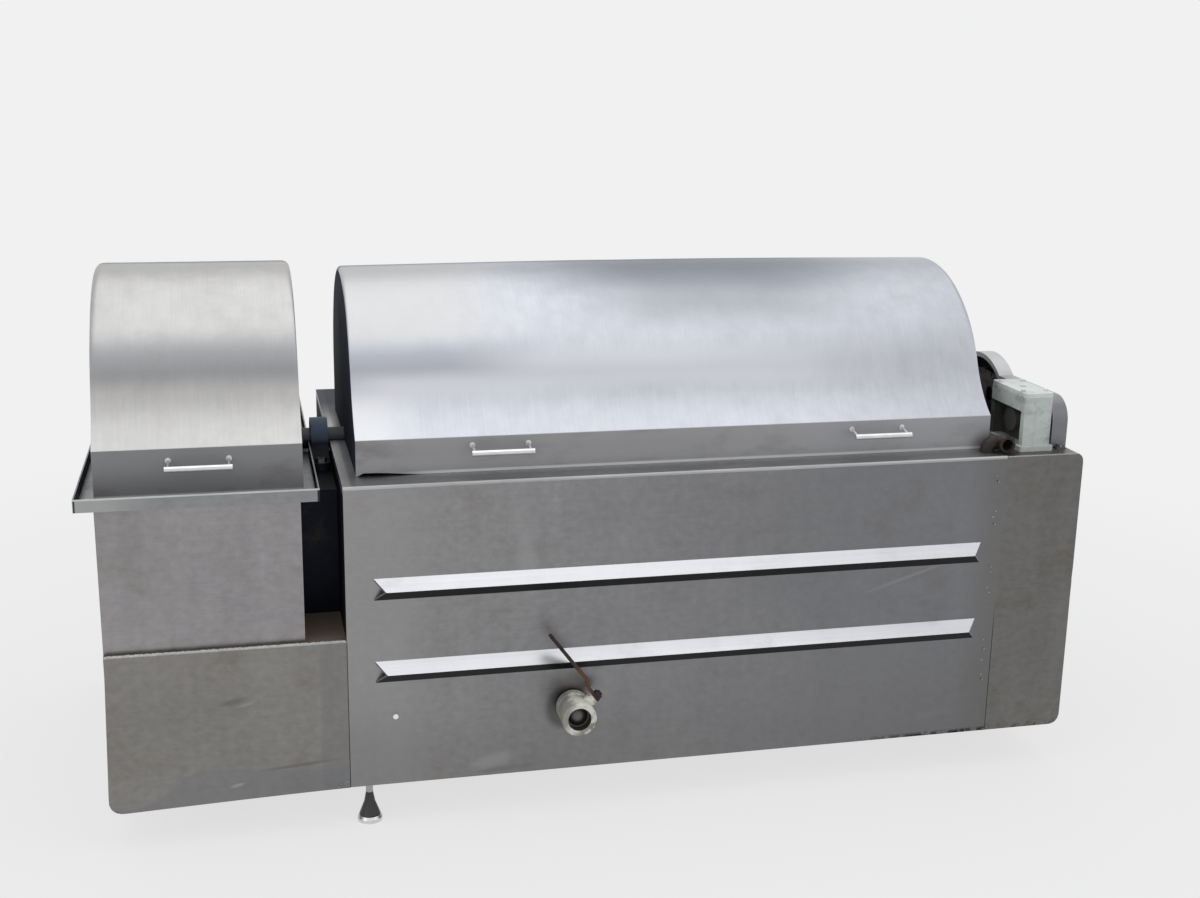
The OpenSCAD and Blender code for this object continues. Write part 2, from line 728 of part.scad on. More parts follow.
// Stem axes: Z along the stem, Y along the closed lever
module on_stem() {
    on_drain() translate([0, 0, ball_z]) rotate([0, 0, stem_a]) rotate([0, 90, 0]) children();
}
module drain_nipple() {
    color([0.62, 0.62, 0.61]) place() on_drain() difference() {
        translate([0, 0, -14]) cylinder(h = 14 + ball_z - seat_far - 2, r = nipple_r);
        translate([0, 0, -14 - eps]) cylinder(h = ball_z + 20, r = nipple_bore);
    }
}
module valve_body() {
    shoulder = ball_z - seat_far;
    color([0.78, 0.77, 0.70]) place() difference() {
        union() {
            on_drain() {
                translate([0, 0, body_z0]) cylinder(h = 14, r = ring_r - 1, $fn = 8);
                translate([0, 0, body_z0 + 10]) cylinder(h = body_z1 - body_z0 - 10, r = ring_r - 3);
            }
            on_stem() cylinder(h = neck_top, r = neck_r);
        }
        on_drain() {
            translate([0, 0, body_z0 - eps]) cylinder(h = shoulder - 2 - body_z0 + eps, r = nipple_r);
            cylinder(h = body_z1, r = ball_bore + 0.5);
            translate([0, 0, shoulder]) cylinder(h = body_z1 - shoulder + eps, r = cavity_r);
        }
        on_stem() cylinder(h = neck_top + eps, r = stem_r + fit);
    }
}
module valve_end_ring() {
    inner = ball_z + seat_far;
    color([0.80, 0.79, 0.73]) place() on_drain() difference() {
        union() {
            translate([0, 0, body_z1]) cylinder(h = 7, r = ring_r - 4);
            translate([0, 0, body_z1 + 5]) cylinder(h = ring_z1 - body_z1 - 5, r = ring_r);
        }
        translate([0, 0, body_z1 - eps]) cylinder(h = inner - body_z1 + eps, r = cavity_r);
        translate([0, 0, body_z1]) cylinder(h = 20, r = ball_bore + 0.5);
        translate([0, 0, outlet_z]) cylinder(h = 40, r = outlet_r);
    }
}
module valve_seats() {
    color([0.93, 0.93, 0.90]) place() on_drain() for (s = [0, 1])
        difference() {
            translate([0, 0, ball_z + (s ? seat_near : -seat_far)])
                cylinder(h = seat_far - seat_near, r = cavity_r);
            cylinder(h = 2 * ring_z1, r = ball_bore + 0.5);
            translate([0, 0, ball_z]) sphere(ball_r + 0.1, $fn = 96);
        }
}
module valve_gland() {
    color([0.60, 0.58, 0.50]) place() on_stem() translate([0, 0, neck_top])
        hex_nut(12.5, gland_top - neck_top, stem_r + fit);
}
module valve_ball() {
    color([0.55, 0.60, 0.56]) place() on_stem() difference() {
        sphere(ball_r, $fn = 96);
        translate([0, -ball_r - eps, 0]) rotate([-90, 0, 0])
            cylinder(h = 2 * ball_r + 2 * eps, r = ball_bore);
        translate([0, 0, ball_r - 6]) cylinder(h = 20, r = stem_r);
    }
}
module valve_stem() {
    color([0.55, 0.52, 0.45]) place() on_stem() translate([0, 0, ball_r - 6])
        cylinder(h = lever_top + nut_h + 4 - ball_r + 6, r = stem_r);
}
// Cranked lever of flat bar, across the pipe when the valve is shut
module valve_lever() {
    z0 = gland_top + seat;
    crank = 9;
    color([0.38, 0.23, 0.15]) place() on_stem() difference() {
        union() {
            along_x(-lever_w / 2, lever_w / 2) polygon([
                [-3, z0], [26, z0], [46, z0 + crank], [lever_l - lever_w / 2, z0 + crank],
                [lever_l - lever_w / 2, z0 + crank + lever_t], [44, z0 + crank + lever_t],
                [24, z0 + lever_t], [-3, z0 + lever_t]
            ]);
            translate([0, 0, z0]) cylinder(h = lever_t, r = lever_w / 2 + 3);
            translate([0, lever_l - lever_w / 2, z0 + crank]) cylinder(h = lever_t, r = lever_w / 2);
        }
        translate([0, 0, z0 - eps]) cylinder(h = lever_t + 2 * eps, r = stem_r);
        translate([0, lever_l - lever_w / 2, z0]) cylinder(h = 30, r = 4);
    }
}
module lever_nut() {
    color([0.45, 0.30, 0.20]) place() on_stem() translate([0, 0, lever_top]) hex_nut(11, nut_h, stem_r);
}
// ---- Water inlet and spray -------------------------------------------------------------
// Quarter bend in the XY plane, from [0, bend] on the Y axis to [bend, 0] on the X axis
module quarter_bend(r, bend) {
    rotate_extrude(angle = 90) translate([bend, 0]) circle(r);
}
module inlet_path(r, over) {
    x1 = inlet_x - inlet_bend;
    y1 = inlet_y - inlet_bend;
    rod_y(r, y1 - 12 - over, y1, inlet_x, inlet_z);
    translate([x1, y1, inlet_z]) quarter_bend(r, inlet_bend);
    rod_x(r, x1 - 2, x1, inlet_y, inlet_z);
    translate([x1 - 2, inlet_y, inlet_z - inlet_bend]) rotate([90, 0, 180]) mirror([0, 0, 1])
        quarter_bend(r, inlet_bend);
    rod_z(r, spray_z + spray_r + 4 - over, inlet_z - inlet_bend, inlet_down_x, inlet_y);
}
module inlet_elbow() {
    mouth = inlet_y - inlet_bend - 12;
    color([0.35, 0.22, 0.15]) place() difference() {
        union() {
            inlet_path(inlet_r, 0);
            rod_y(inlet_r + 3.2, mouth, mouth + 11, inlet_x, inlet_z);
        }
        inlet_path(inlet_bore_r, eps);
    }
}
module spray_pipe() {
    x1 = inlet_down_x + 24;
    boss = spray_z + spray_r + 4;
    color([0.74, 0.75, 0.76]) place() difference() {
        union() {
            rod_x(spray_r, spray_x0, x1, inlet_y, spray_z);
            rod_z(inlet_r + 4, spray_z, boss + 10, inlet_down_x, inlet_y);
        }
        rod_x(spray_r - 2, spray_x0 + 3, x1 - 3, inlet_y, spray_z);
        rod_z(inlet_bore_r, spray_z, boss + 11, inlet_down_x, inlet_y);
        rod_z(inlet_r, boss, boss + 11, inlet_down_x, inlet_y);
    }
}
module spray_nozzles() {
    color([0.80, 0.80, 0.78]) place() for (i = [0 : nozzle_count - 1])
        translate([spray_x0 + 70 + i * (inlet_down_x - 100 - spray_x0 - 70) / (nozzle_count - 1),
                   inlet_y, spray_z])
            rotate([-60, 0, 0]) difference() {
                translate([0, 0, spray_r - 2]) cylinder(h = 15, r = 6, $fn = 32);
                rotate([0, 90, 0]) translate([0, 0, -9]) cylinder(h = 18, r = spray_r);
                cylinder(h = 60, r = 1.5, $fn = 16);
            }
}
module spray_brackets() {
    color([0.66, 0.67, 0.68]) place()
        for (x = [spray_x0 + 30, (spray_x0 + inlet_down_x) / 2, inlet_down_x - 50])
            difference() {
                box([x - 2.5, sheet_t, spray_z - 24], [x + 2.5, inlet_y + 24, z_rim - sheet_t]);
                rod_x(spray_r, x - 9, x + 9, inlet_y, spray_z);
            }
}
// ---- Bearings --------------------------------------------------------------------------
// Pillow block casting, bored for its insert
module pillow_block(x) {
    base = z_rim - bearing_h;
    difference() {
        union() {
            along_x(x - bearing_w / 2, x + bearing_w / 2) {
                translate([axis_y, z_rim]) circle(bearing_r + 4);
                polygon([
                    [axis_y - bearing_r - 14, base + bearing_base_t - 2],
                    [axis_y + bearing_r + 14, base + bearing_base_t - 2],
                    [axis_y + bearing_r + 2, z_rim], [axis_y - bearing_r - 2, z_rim]
                ]);
            }
            box([x - bearing_base_w / 2, axis_y - bearing_base_l / 2 + bearing_base_w / 2, base],
                [x + bearing_base_w / 2, axis_y + bearing_base_l / 2 - bearing_base_w / 2,
                 base + bearing_base_t]);
            for (s = [-1, 1])
                rod_z(bearing_base_w / 2, base, base + bearing_base_t, x,
                    axis_y + s * (bearing_base_l - bearing_base_w) / 2);
        }
        rod_x(insert_r, x - bearing_w, x + bearing_w, axis_y, z_rim);
        for (s = [-1, 1])
            rod_z(bolt_r + through, base - eps, base + bearing_base_t + eps, x, axis_y + s * bolt_pitch / 2);
    }
}
module left_bearing() {
    color([0.16, 0.36, 0.50]) place() pillow_block(x_gap);
}
module right_bearing() {
    color([0.16, 0.36, 0.50]) place() pillow_block(x_bearing2);
}
module bearing_inserts() {
    color([0.70, 0.70, 0.71]) place() for (x = [x_gap, x_bearing2])
        tube_x(insert_r, shaft_r + fit, x - bearing_w / 2 + 4, x + bearing_w / 2 - 4, axis_y, z_rim);
}
module bearing_bolts() {
    seat_z = z_rim - bearing_h;
    color([0.55, 0.55, 0.56]) place() for (x = [x_gap, x_bearing2]) for (s = [-1, 1])
        translate([x, axis_y + s * bolt_pitch / 2, seat_z]) {
            translate([0, 0, bearing_base_t]) cylinder(h = 10, r = 14, $fn = 6);
            translate([0, 0, -seat_plate_t - 10])
                cylinder(h = bearing_base_t + seat_plate_t + 11, r = bolt_r);
            translate([0, 0, -seat_plate_t]) mirror([0, 0, 1]) hex_nut(14, 10, bolt_r - 0.5);
        }
}
// Shelf with two gussets, fixed to the right end of the wash tank
module bearing_bracket() {
    top = z_rim - bearing_h;
    half = bearing_base_l / 2 + 8;
    color([0.45, 0.46, 0.47]) place() difference() {
        union() {
            box([x_drive, axis_y - half, top - seat_plate_t], [x_drive + bracket_w, axis_y + half, top]);
            box([x_drive, axis_y - half, top - 120], [x_drive + 8, axis_y + half, top]);
            for (y = [axis_y - half, axis_y + half - 8])
                along_y(y, y + 8) polygon([
                    [x_drive, top - 120], [x_drive + 20, top - 120],
                    [x_drive + bracket_w, top - seat_plate_t], [x_drive, top - seat_plate_t]
                ]);
        }
        for (s = [-1, 1])
            rod_z(bolt_r + through, top - seat_plate_t - eps, top + eps,
                  x_bearing2, axis_y + s * bolt_pitch / 2);
    }
}
// ---- Drums -----------------------------------------------------------------------------
module drum_shaft() {
    color([0.68, 0.69, 0.70]) place() rod_x(shaft_r, rinse_drum0 + 10, guard_x1 - guard_t - 3, axis_y, z_rim);
}
module drum_bars(x0, x1) {
    round_axis(bar_count)
        translate([x0, 0, drum_r - bar_r]) rotate([0, 90, 0]) cylinder(h = x1 - x0, r = bar_r, $fn = 24);
}
module drum_hoop(x) {
    tube_x(drum_r + hoop_t, drum_r, x - hoop_w / 2, x + hoop_w / 2, axis_y, z_rim, $fn = 128);
}
module spider(x, start) {
    difference() {
        union() {
            rod_x(hub_r, x - hub_l / 2, x + hub_l / 2, axis_y, z_rim);
            round_axis(4, start)
                translate([x - spider_t / 2, -arm_w / 2, 0]) cube([spider_t, arm_w, bar_inner - 0.8]);
        }
        rod_x(shaft_r, x - hub_l, x + hub_l, axis_y, z_rim);
    }
}
// Helical flight: a ribbon wound from x0 to x1 inside the bars
module flight(x0, x1, start) {
    turns = (x1 - x0 - flight_t) / flight_pitch;
    steps = ceil(turns * 30);
    r1 = bar_inner - 0.2;
    r0 = bar_inner - flight_h;
    ring = [for (i = [0 : steps])
        let (a = start + turns * 360 * i / steps, x = x0 + flight_pitch * turns * i / steps)
        each [
            [x, r0 * sin(a), r0 * cos(a)], [x, r1 * sin(a), r1 * cos(a)],
            [x + flight_t, r1 * sin(a), r1 * cos(a)], [x + flight_t, r0 * sin(a), r0 * cos(a)]
        ]];
    sides = [for (i = [0 : steps - 1]) for (j = [0 : 3])
        let (a = 4 * i + j, b = 4 * i + (j + 1) % 4)
        each [[a, b, b + 4], [a, b + 4, a + 4]]];
    translate([0, axis_y, z_rim])
        polyhedron(points = ring, faces = concat([[3, 2, 1, 0]],
            [for (f = sides) f], [[4 * steps, 4 * steps + 1, 4 * steps + 2, 4 * steps + 3]]));
}
module wash_bars() {
    color([0.74, 0.75, 0.76]) place() drum_bars(wash_drum0, wash_drum1);
}
module wash_hoops() {
    color([0.70, 0.71, 0.72]) place()
        for (i = [0 : 3]) drum_hoop(wash_drum0 + hoop_w / 2 + i * (wash_drum1 - wash_drum0 - hoop_w) / 3);
}
function flight_angle(x, x0, start) = start + 360 * (x - x0) / flight_pitch;
module wash_spiders() {
    color([0.66, 0.67, 0.68]) place()
        for (x = wash_spider_x) spider(x, 45 - flight_angle(x, wash_drum0 + 4, 0));
}
module wash_flight() {
    color([0.72, 0.73, 0.74]) place() flight(wash_drum0 + 4, wash_drum1 - 4, 0);
}
module rinse_flight() {
    color([0.72, 0.73, 0.74]) place() flight(rinse_drum0 + 4, rinse_drum1 - 4, 90);
}
module rinse_bars() {
    color([0.74, 0.75, 0.76]) place() drum_bars(rinse_drum0, rinse_drum1);
}
module rinse_hoops() {
    color([0.70, 0.71, 0.72]) place()
        for (x = [rinse_drum0 + hoop_w / 2, rinse_drum1 - hoop_w / 2]) drum_hoop(x);
}
module rinse_spiders() {
    color([0.66, 0.67, 0.68]) place()
        for (x = rinse_spider_x) spider(x, 45 - flight_angle(x, rinse_drum0 + 4, 90));
}
// ---- Chain drive -----------------------------------------------------------------------
// Sprocket outline: low teeth that pass under the rollers of the fixed chain at any angle
module sprocket_outline(teeth, pr, turn) {
    difference() {
        circle(pr - roller_r - tooth_gap, $fn = 128);
        for (i = [0 : teeth - 1]) rotate(turn + i * 360 / teeth)
            translate([pr - tooth_h, 0]) circle(roller_r + tooth_gap, $fn = 32);
    }
}
module drum_sprocket() {
    color([0.30, 0.29, 0.28]) place() difference() {
        union() {
            translate([0, axis_y, z_rim]) along_x(x_chain - tooth_w / 2, x_chain + tooth_w / 2)
                difference() {
                    sprocket_outline(drum_teeth, drum_pr, drum_turn);
                    for (i = [0 : 5])
                        rotate(30 + 60 * i) translate([drum_pr * 0.58, 0]) circle(drum_pr * 0.17);
                }
            rod_x(hub_r, x_chain - 15, x_chain + 14, axis_y, z_rim);
        }
        rod_x(shaft_r, x_chain - 40, x_chain + 40, axis_y, z_rim);
    }
}
module drive_pinion() {
    color([0.32, 0.31, 0.30]) place() difference() {
        union() {
            translate([0, pinion_y, z_rim + output_h]) along_x(x_chain - tooth_w / 2, x_chain + tooth_w / 2)
                sprocket_outline(pinion_teeth, pinion_pr, pinion_turn);
            rod_x(output_r + 9, x_chain - 16, x_chain + 8, pinion_y, z_rim + output_h);
        }
        rod_x(output_r, x_chain - 40, x_chain + 40, pinion_y, z_rim + output_h);
    }
}
// Chain path, counted in links from where the upper strand leaves the drum sprocket.
// The frame of the path has the drum sprocket at its origin and the pinion on its -Y side.
tilt = strand_angle(centre_d);
strand_links = strand(centre_d) / chain_p;
pinion_links = pinion_wrap(centre_d);
drum_links = drum_wrap(centre_d);
top_dir = [-cos(tilt), -sin(tilt)];
top_out = [-sin(tilt), cos(tilt)];
low_dir = [cos(tilt), -sin(tilt)];
low_out = [-sin(tilt), -cos(tilt)];
pinion_c = [-centre_d, 0];
function path_point(s) =
    s < strand_links ? drum_pr * top_out + s * chain_p * top_dir
    : s < strand_links + pinion_links
        ? pinion_c + pinion_pr * [cos(90 + tilt + (s - strand_links) * 360 / pinion_teeth),
                                  sin(90 + tilt + (s - strand_links) * 360 / pinion_teeth)]
    : s < 2 * strand_links + pinion_links
        ? pinion_c + pinion_pr * low_out + (s - strand_links - pinion_links) * chain_p * low_dir
    : drum_pr * [cos(270 - tilt + (s - 2 * strand_links - pinion_links) * 360 / drum_teeth),
                 sin(270 - tilt + (s - 2 * strand_links - pinion_links) * 360 / drum_teeth)];
// Seats of the sprockets lie on the path's rollers; the whole path leans with the two shafts
drum_turn = 90 + tilt - lean;
pinion_turn = 90 + tilt - lean + (ceil(strand_links) - strand_links) * 360 / pinion_teeth;
module chain_link(a, b, outer) {
    span = b - a;
    half = roller_w / 2 + (outer ? plate_t + 0.3 : 0.1);
    translate([a[0], a[1], 0]) rotate(atan2(span[1], span[0])) difference() {
        union() {
            for (z = [-half - plate_t, half]) translate([0, 0, z]) {
                cylinder(h = plate_t, r = plate_h, $fn = 24);
                translate([norm(span), 0, 0]) cylinder(h = plate_t, r = plate_h, $fn = 24);
                translate([0, -plate_h * 0.8, 0]) cube([norm(span), plate_h * 1.6, plate_t]);
            }
            for (x = [0, norm(span)]) translate([x, 0, -half])
                cylinder(h = 2 * half, r = outer ? chain_pin_r : roller_r, $fn = 24);
        }
        if (!outer) for (x = [0, norm(span)]) translate([x, 0, -half - 9])
            cylinder(h = 2 * half + 18, r = chain_pin_r + 0.15, $fn = 24);
    }
}
module drive_chain() {
    color([0.22, 0.20, 0.18]) place() translate([x_chain, axis_y, z_rim]) rotate([90, 0, 90]) rotate(-lean)
        for (i = [0 : chain_links - 1])
            chain_link(path_point(i), path_point((i + 1) % chain_links), i % 2 == 0);
}
// Guard outline in Y and Z: a half round over the sprocket and a lower front part
module guard_block(x0, x1, d) {
    along_x(x0, x1) intersection() {
        translate([axis_y, z_rim]) circle(guard_r - d, $fn = 128);
        translate([axis_y - 2 * guard_r, z_rim - (d > 0 ? eps : 0)]) square([4 * guard_r, 2 * guard_r]);
    }
    along_x(x0, x1) difference() {
        translate([guard_front + d, z_rim - (d > 0 ? eps : 0)])
            square([axis_y - guard_front - d, guard_h - d + (d > 0 ? eps : 0)]);
        difference() {
            translate([guard_front - eps, z_rim + guard_h - guard_corner])
                square([guard_corner + eps, guard_corner + eps]);
            translate([guard_front + guard_corner, z_rim + guard_h - guard_corner]) circle(guard_corner - d);
        }
    }
}
module chain_guard() {
    color([0.55, 0.57, 0.55]) place() {
        difference() {
            guard_block(guard_x0, guard_x1, 0);
            guard_block(guard_x0 + guard_t, guard_x1 - guard_t, guard_t);
            guard_block(guard_x0 - eps, guard_x0 + 2 * guard_t, guard_hem);
        }
        box([x_chain - 12, guard_front - 16, z_rim], [x_chain + 12, guard_front + 1, z_rim + 3]);
        box([x_chain - 12, axis_y + guard_r - 1, z_rim], [x_chain + 12, axis_y + guard_r + 16, z_rim + 3]);
    }
}
// ---- Gear reducer and motor --------------------------------------------------------------
module rounded_block(low, high, r) {
    translate([0, 0, low[2]]) linear_extrude(high[2] - low[2]) {
        translate([low[0] + r, low[1]]) square([high[0] - low[0] - 2 * r, high[1] - low[1]]);
        translate([low[0], low[1] + r]) square([high[0] - low[0], high[1] - low[1] - 2 * r]);
        for (x = [low[0] + r, high[0] - r]) for (y = [low[1] + r, high[1] - r]) translate([x, y]) circle(r);
    }
}
module reducer_case() {
    y0 = reducer_y0;
    y1 = reducer_y0 + reducer_d;
    top = z_rim + reducer_h - cover_t;
    head = z_rim + reducer_h - cover_t - reducer_head + 10;
    color([0.66, 0.70, 0.67]) place() difference() {
        union() {
            rounded_block([reducer_x0 - 8, y0 - 6, z_rim], [reducer_x1 + 6, y1 + 6, z_rim + reducer_base], 8);
            rounded_block([reducer_x0 + reducer_recess, y0, z_rim], [reducer_x1, y1, top], 10);
            rounded_block([reducer_x0, y0, head], [reducer_x1, y1, top], 10);
            box([reducer_x0 + 1, y0 + 3, z_rim], [reducer_x0 + reducer_recess + 12, y0 + 19, top]);
            box([reducer_x0 + 1, y1 - 19, z_rim], [reducer_x0 + reducer_recess + 12, y1 - 3, top]);
            rod_x(output_r + 16, reducer_x0 + 10, reducer_x1 + 4, pinion_y, z_rim + output_h);
        }
        rod_x(output_r + fit, reducer_x1 - 30, reducer_x1 + 9, pinion_y, z_rim + output_h);
        for (x = [reducer_x0 + 8, reducer_x1 - 8]) for (y = [y0 + 30, y1 - 30])
            rod_z(3, top - 18, top + eps, x, y);
    }
}
module reducer_cover() {
    y0 = reducer_y0;
    y1 = reducer_y0 + reducer_d;
    top = z_rim + reducer_h;
    color([0.68, 0.72, 0.69]) place() difference() {
        union() {
            rounded_block([reducer_x0, y0, top - cover_t], [reducer_x1, y1, top], 10);
            for (x = [reducer_x0 + 8, reducer_x1 - 8]) for (y = [y0 + 30, y1 - 30])
                translate([x, y, top - eps]) cylinder(h = 1 + 4, r = 6.5, $fn = 6);
        }
        rod_z(9, top - 4, top + eps, motor_x, pinion_y);
    }
}
module output_shaft() {
    color([0.62, 0.62, 0.63]) place()
        rod_x(output_r, reducer_x1 - 30, guard_x1 - guard_t - 4, pinion_y, z_rim + output_h);
}
// Flange-mounted motor under the housing's top, with cooling fins, fan cowl and terminal box
module drive_motor() {
    top = z_rim - sheet_t;
    color([0.30, 0.42, 0.48]) place() {
        difference() {
            union() {
                rod_z(motor_flange_r, top - 12, top, motor_x, pinion_y);
                rod_z(motor_r - 8, top - 12 - motor_l, top - 11, motor_x, pinion_y);
                for (i = [0 : fin_count - 1])
                    translate([motor_x, pinion_y, top - motor_l]) rotate(i * 360 / fin_count)
                        translate([motor_r - 14, -1.5, 0]) cube([14, 3, motor_l - 24]);
                rod_z(motor_r, top - 12 - motor_l - cowl_l, top - 12 - motor_l + 10, motor_x, pinion_y);
                box([motor_x - 38, pinion_y + motor_r - 20, top - 130],
                    [motor_x + 38, pinion_y + motor_r + 34, top - 50]);
            }
            rod_z(motor_r - 2, top - 10 - motor_l - cowl_l, top - 14 - motor_l, motor_x, pinion_y);
            for (a = [0 : 45 : 315])
                translate([motor_x, pinion_y, top - 20 - motor_l - cowl_l]) rotate(a)
                    translate([16, -3, 0]) cube([26, 6, 12]);
            rod_y(8, pinion_y + motor_r + 20, pinion_y + motor_r + 40, motor_x, top - 90);
        }
        difference() {
            rod_y(11, pinion_y + motor_r + 34, pinion_y + motor_r + 50, motor_x, top - 90);
            rod_y(6, pinion_y + motor_r + 30, pinion_y + motor_r + 60, motor_x, top - 90);
        }
    }
}
// ---- Hoods -----------------------------------------------------------------------------
wash_base = seat;
rinse_base = z_tray - z_rim + seat;
module wash_hood() {
    color([0.80, 0.82, 0.85]) place() hood_skin(x_hood0, x_hood1, wash_base, 0);
}
module wash_hood_ends() {
    color([0.45, 0.46, 0.48]) place() hood_ends(x_hood0, x_hood1, wash_base, 0);
}
module wash_handles() {
    color([0.85, 0.85, 0.86]) place()
        for (x = [x_hood0 + handle_inset, x_hood1 - handle_inset_r]) pull_handle(x, 0.76);
}
module wash_hinges() {
    color([0.60, 0.61, 0.62]) place() for (x = wash_hinge_x) moving_leaf(x, z_rim);
}
module rinse_hood() {
    color([0.82, 0.81, 0.78]) place() hood_skin(x_rhood0, x_rhood1, rinse_base, rinse_up);
}
module rinse_hood_ends() {
    color([0.45, 0.46, 0.48]) place() hood_ends(x_rhood0, x_rhood1, rinse_base, rinse_up);
}
module rinse_handle() {
    color([0.85, 0.85, 0.86]) place() pull_handle((x_rhood0 + x_rhood1) / 2, 0.68);
}
module rinse_hinges() {
    color([0.60, 0.61, 0.62]) place() for (x = rinse_hinge_x) moving_leaf(x, z_tray);
}
module fixed_hinges() {
    color([0.55, 0.56, 0.57]) place() {
        for (x = wash_hinge_x) fixed_leaf(x, z_rim);
        for (x = rinse_hinge_x) fixed_leaf(x, z_tray);
        for (x = [x_hood0 + 40, x_hood1 - 40]) buffer(x, z_rim);
        for (x = [x_rhood0 + 24, x_rhood1 - 24]) buffer(x, z_tray);
    }
}

wash_tank();
tank_rim();
stiffener_ribs();
base_box();
rinse_tank();
rinse_tray();
bearing_bridge();
transfer_chute();
drive_housing();
housing_panel();
support_frame();
cover_screws();
foot_studs();
foot_nuts();
foot_bells();
foot_pads();
drain_nipple();
valve_body();
valve_end_ring();
valve_seats();
valve_gland();
valve_ball();
valve_stem();
valve_lever();
lever_nut();
inlet_elbow();
spray_pipe();
spray_nozzles();
spray_brackets();
left_bearing();
right_bearing();
bearing_inserts();
bearing_bolts();
bearing_bracket();
drum_shaft();
wash_bars();
wash_hoops();
wash_spiders();
wash_flight();
rinse_flight();
rinse_bars();
rinse_hoops();
rinse_spiders();
drum_sprocket();
drive_pinion();
drive_chain();
chain_guard();
reducer_case();
reducer_cover();
output_shaft();
drive_motor();
wash_hood();
wash_hood_ends();
wash_handles();
wash_hinges();
rinse_hood();
rinse_hood_ends();
rinse_handle();
rinse_hinges();
fixed_hinges();
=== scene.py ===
# %% [markdown]
# # A rotary drum washer in sheet steel
#
# The machine is a long wash tank and a shorter rinse tank, side by side, each under a hinged
# hood of rolled plate. One shaft carries two bar drums and is turned by a roller chain. The
# working shapes come from the CAD frame; this lesson gives them their finish, and makes again
# the pieces whose look depends on small irregularities.

# %% Load the frame and measure it
import math

import bmesh
import bpy
from mathutils import Matrix, Vector


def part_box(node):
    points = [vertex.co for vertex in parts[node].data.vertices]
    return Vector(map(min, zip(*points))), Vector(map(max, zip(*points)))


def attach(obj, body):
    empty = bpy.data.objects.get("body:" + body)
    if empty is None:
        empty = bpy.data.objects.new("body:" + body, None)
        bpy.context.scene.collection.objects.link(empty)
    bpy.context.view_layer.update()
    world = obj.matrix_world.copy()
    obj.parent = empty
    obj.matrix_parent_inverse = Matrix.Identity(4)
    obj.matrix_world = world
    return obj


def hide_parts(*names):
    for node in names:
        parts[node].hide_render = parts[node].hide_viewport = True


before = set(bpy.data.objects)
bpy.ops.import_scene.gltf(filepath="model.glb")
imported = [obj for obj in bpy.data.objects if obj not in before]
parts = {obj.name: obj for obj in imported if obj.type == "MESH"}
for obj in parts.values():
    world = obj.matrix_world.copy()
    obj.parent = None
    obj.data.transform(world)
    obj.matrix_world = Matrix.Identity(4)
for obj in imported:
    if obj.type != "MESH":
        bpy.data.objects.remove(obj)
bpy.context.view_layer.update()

scene = bpy.context.scene
looks = {}
print("CAD pieces:", len(parts))

# %% [markdown]
# ## The camera
# It stands in front of the machine, a little to the left of its middle and at head height,
# so it looks down on the rim and sees the hoods' left ends.

# %% Camera
turned_right, tilted_down, rolled = 0.2366, 0.2518, 0.0168
lens = bpy.data.cameras.new("studio_camera")
lens.lens = 46.24
lens.sensor_width = 36
camera = bpy.data.objects.new("studio_camera", lens)
scene.collection.objects.link(camera)
camera.matrix_world = (
    Matrix.Translation((-0.81081, -3.66180, 1.71313))
    @ Matrix.Rotation(-turned_right, 4, "Z")
    @ Matrix.Rotation(math.pi / 2 - tilted_down, 4, "X")
    @ Matrix.Rotation(rolled, 4, "Z")
)
scene.camera = camera
scene.view_settings.view_transform = "Standard"
print("camera at", [round(v, 3) for v in camera.matrix_world.translation])

# %% [markdown]
# ## Sums written as Python
# A node tree is a chain of small sums. Adding each Math node by hand hides the rule that it
# carries, so one class wraps a node's output and lets Python's own signs add the nodes. The
# same class serves the materials and the Geometry Nodes.


# %% Wire and Tree
def sign(operation, swapped=False):
    """The method behind one of Python's signs; swapped is for a wire that stands on its right."""

    def method(wire, other):
        return wire.math(operation, *((other, wire) if swapped else (wire, other)))

    return method


class Wire:
    """One output of a node. Arithmetic on it adds Math nodes to its tree."""

    __add__, __radd__ = sign("ADD"), sign("ADD", swapped=True)
    __sub__, __rsub__ = sign("SUBTRACT"), sign("SUBTRACT", swapped=True)
    __mul__, __truediv__ = sign("MULTIPLY"), sign("DIVIDE")
    __gt__, __lt__ = sign("GREATER_THAN"), sign("LESS_THAN")

    def __init__(self, tree, socket):
        self.tree, self.socket = tree, socket

    def math(self, operation, *values):
        return self.tree.shade("Math", dict(enumerate(values)), operation=operation)

    def clamp(self, low=0.0, high=1.0):
        return self.math("MINIMUM", self.math("MAXIMUM", self, low), high)

    def step(self, start, end):
        """Rises smoothly from 0 at start to 1 at end; falls when end is below start."""
        first, last = (1.0, 0.0) if end < start else (0.0, 1.0)
        inputs = {0: self, 1: min(start, end), 2: max(start, end), 3: first, 4: last}
        return self.tree.shade("MapRange", inputs, interpolation_type="SMOOTHSTEP")

    def between(self, start, full, fade, end):
        """Rises from start to full, stays up, and falls from fade to end."""
        return self.step(start, full) * self.step(end, fade)

    def sin(self):
        return self.math("SINE", self)

    def cos(self):
        return self.math("COSINE", self)

    def out(self, name):
        """Another output of the same node."""
        return Wire(self.tree, find(self.socket.node.outputs, name))


def find(sockets, key):
    """The socket with that place, identifier or name; of several with one name, the live one."""
    if isinstance(key, int):
        return sockets[key]
    for s in sockets:
        if s.identifier == key:
            return s
    for s in sockets:
        if s.name == key and s.enabled:
            return s
    raise KeyError(key)


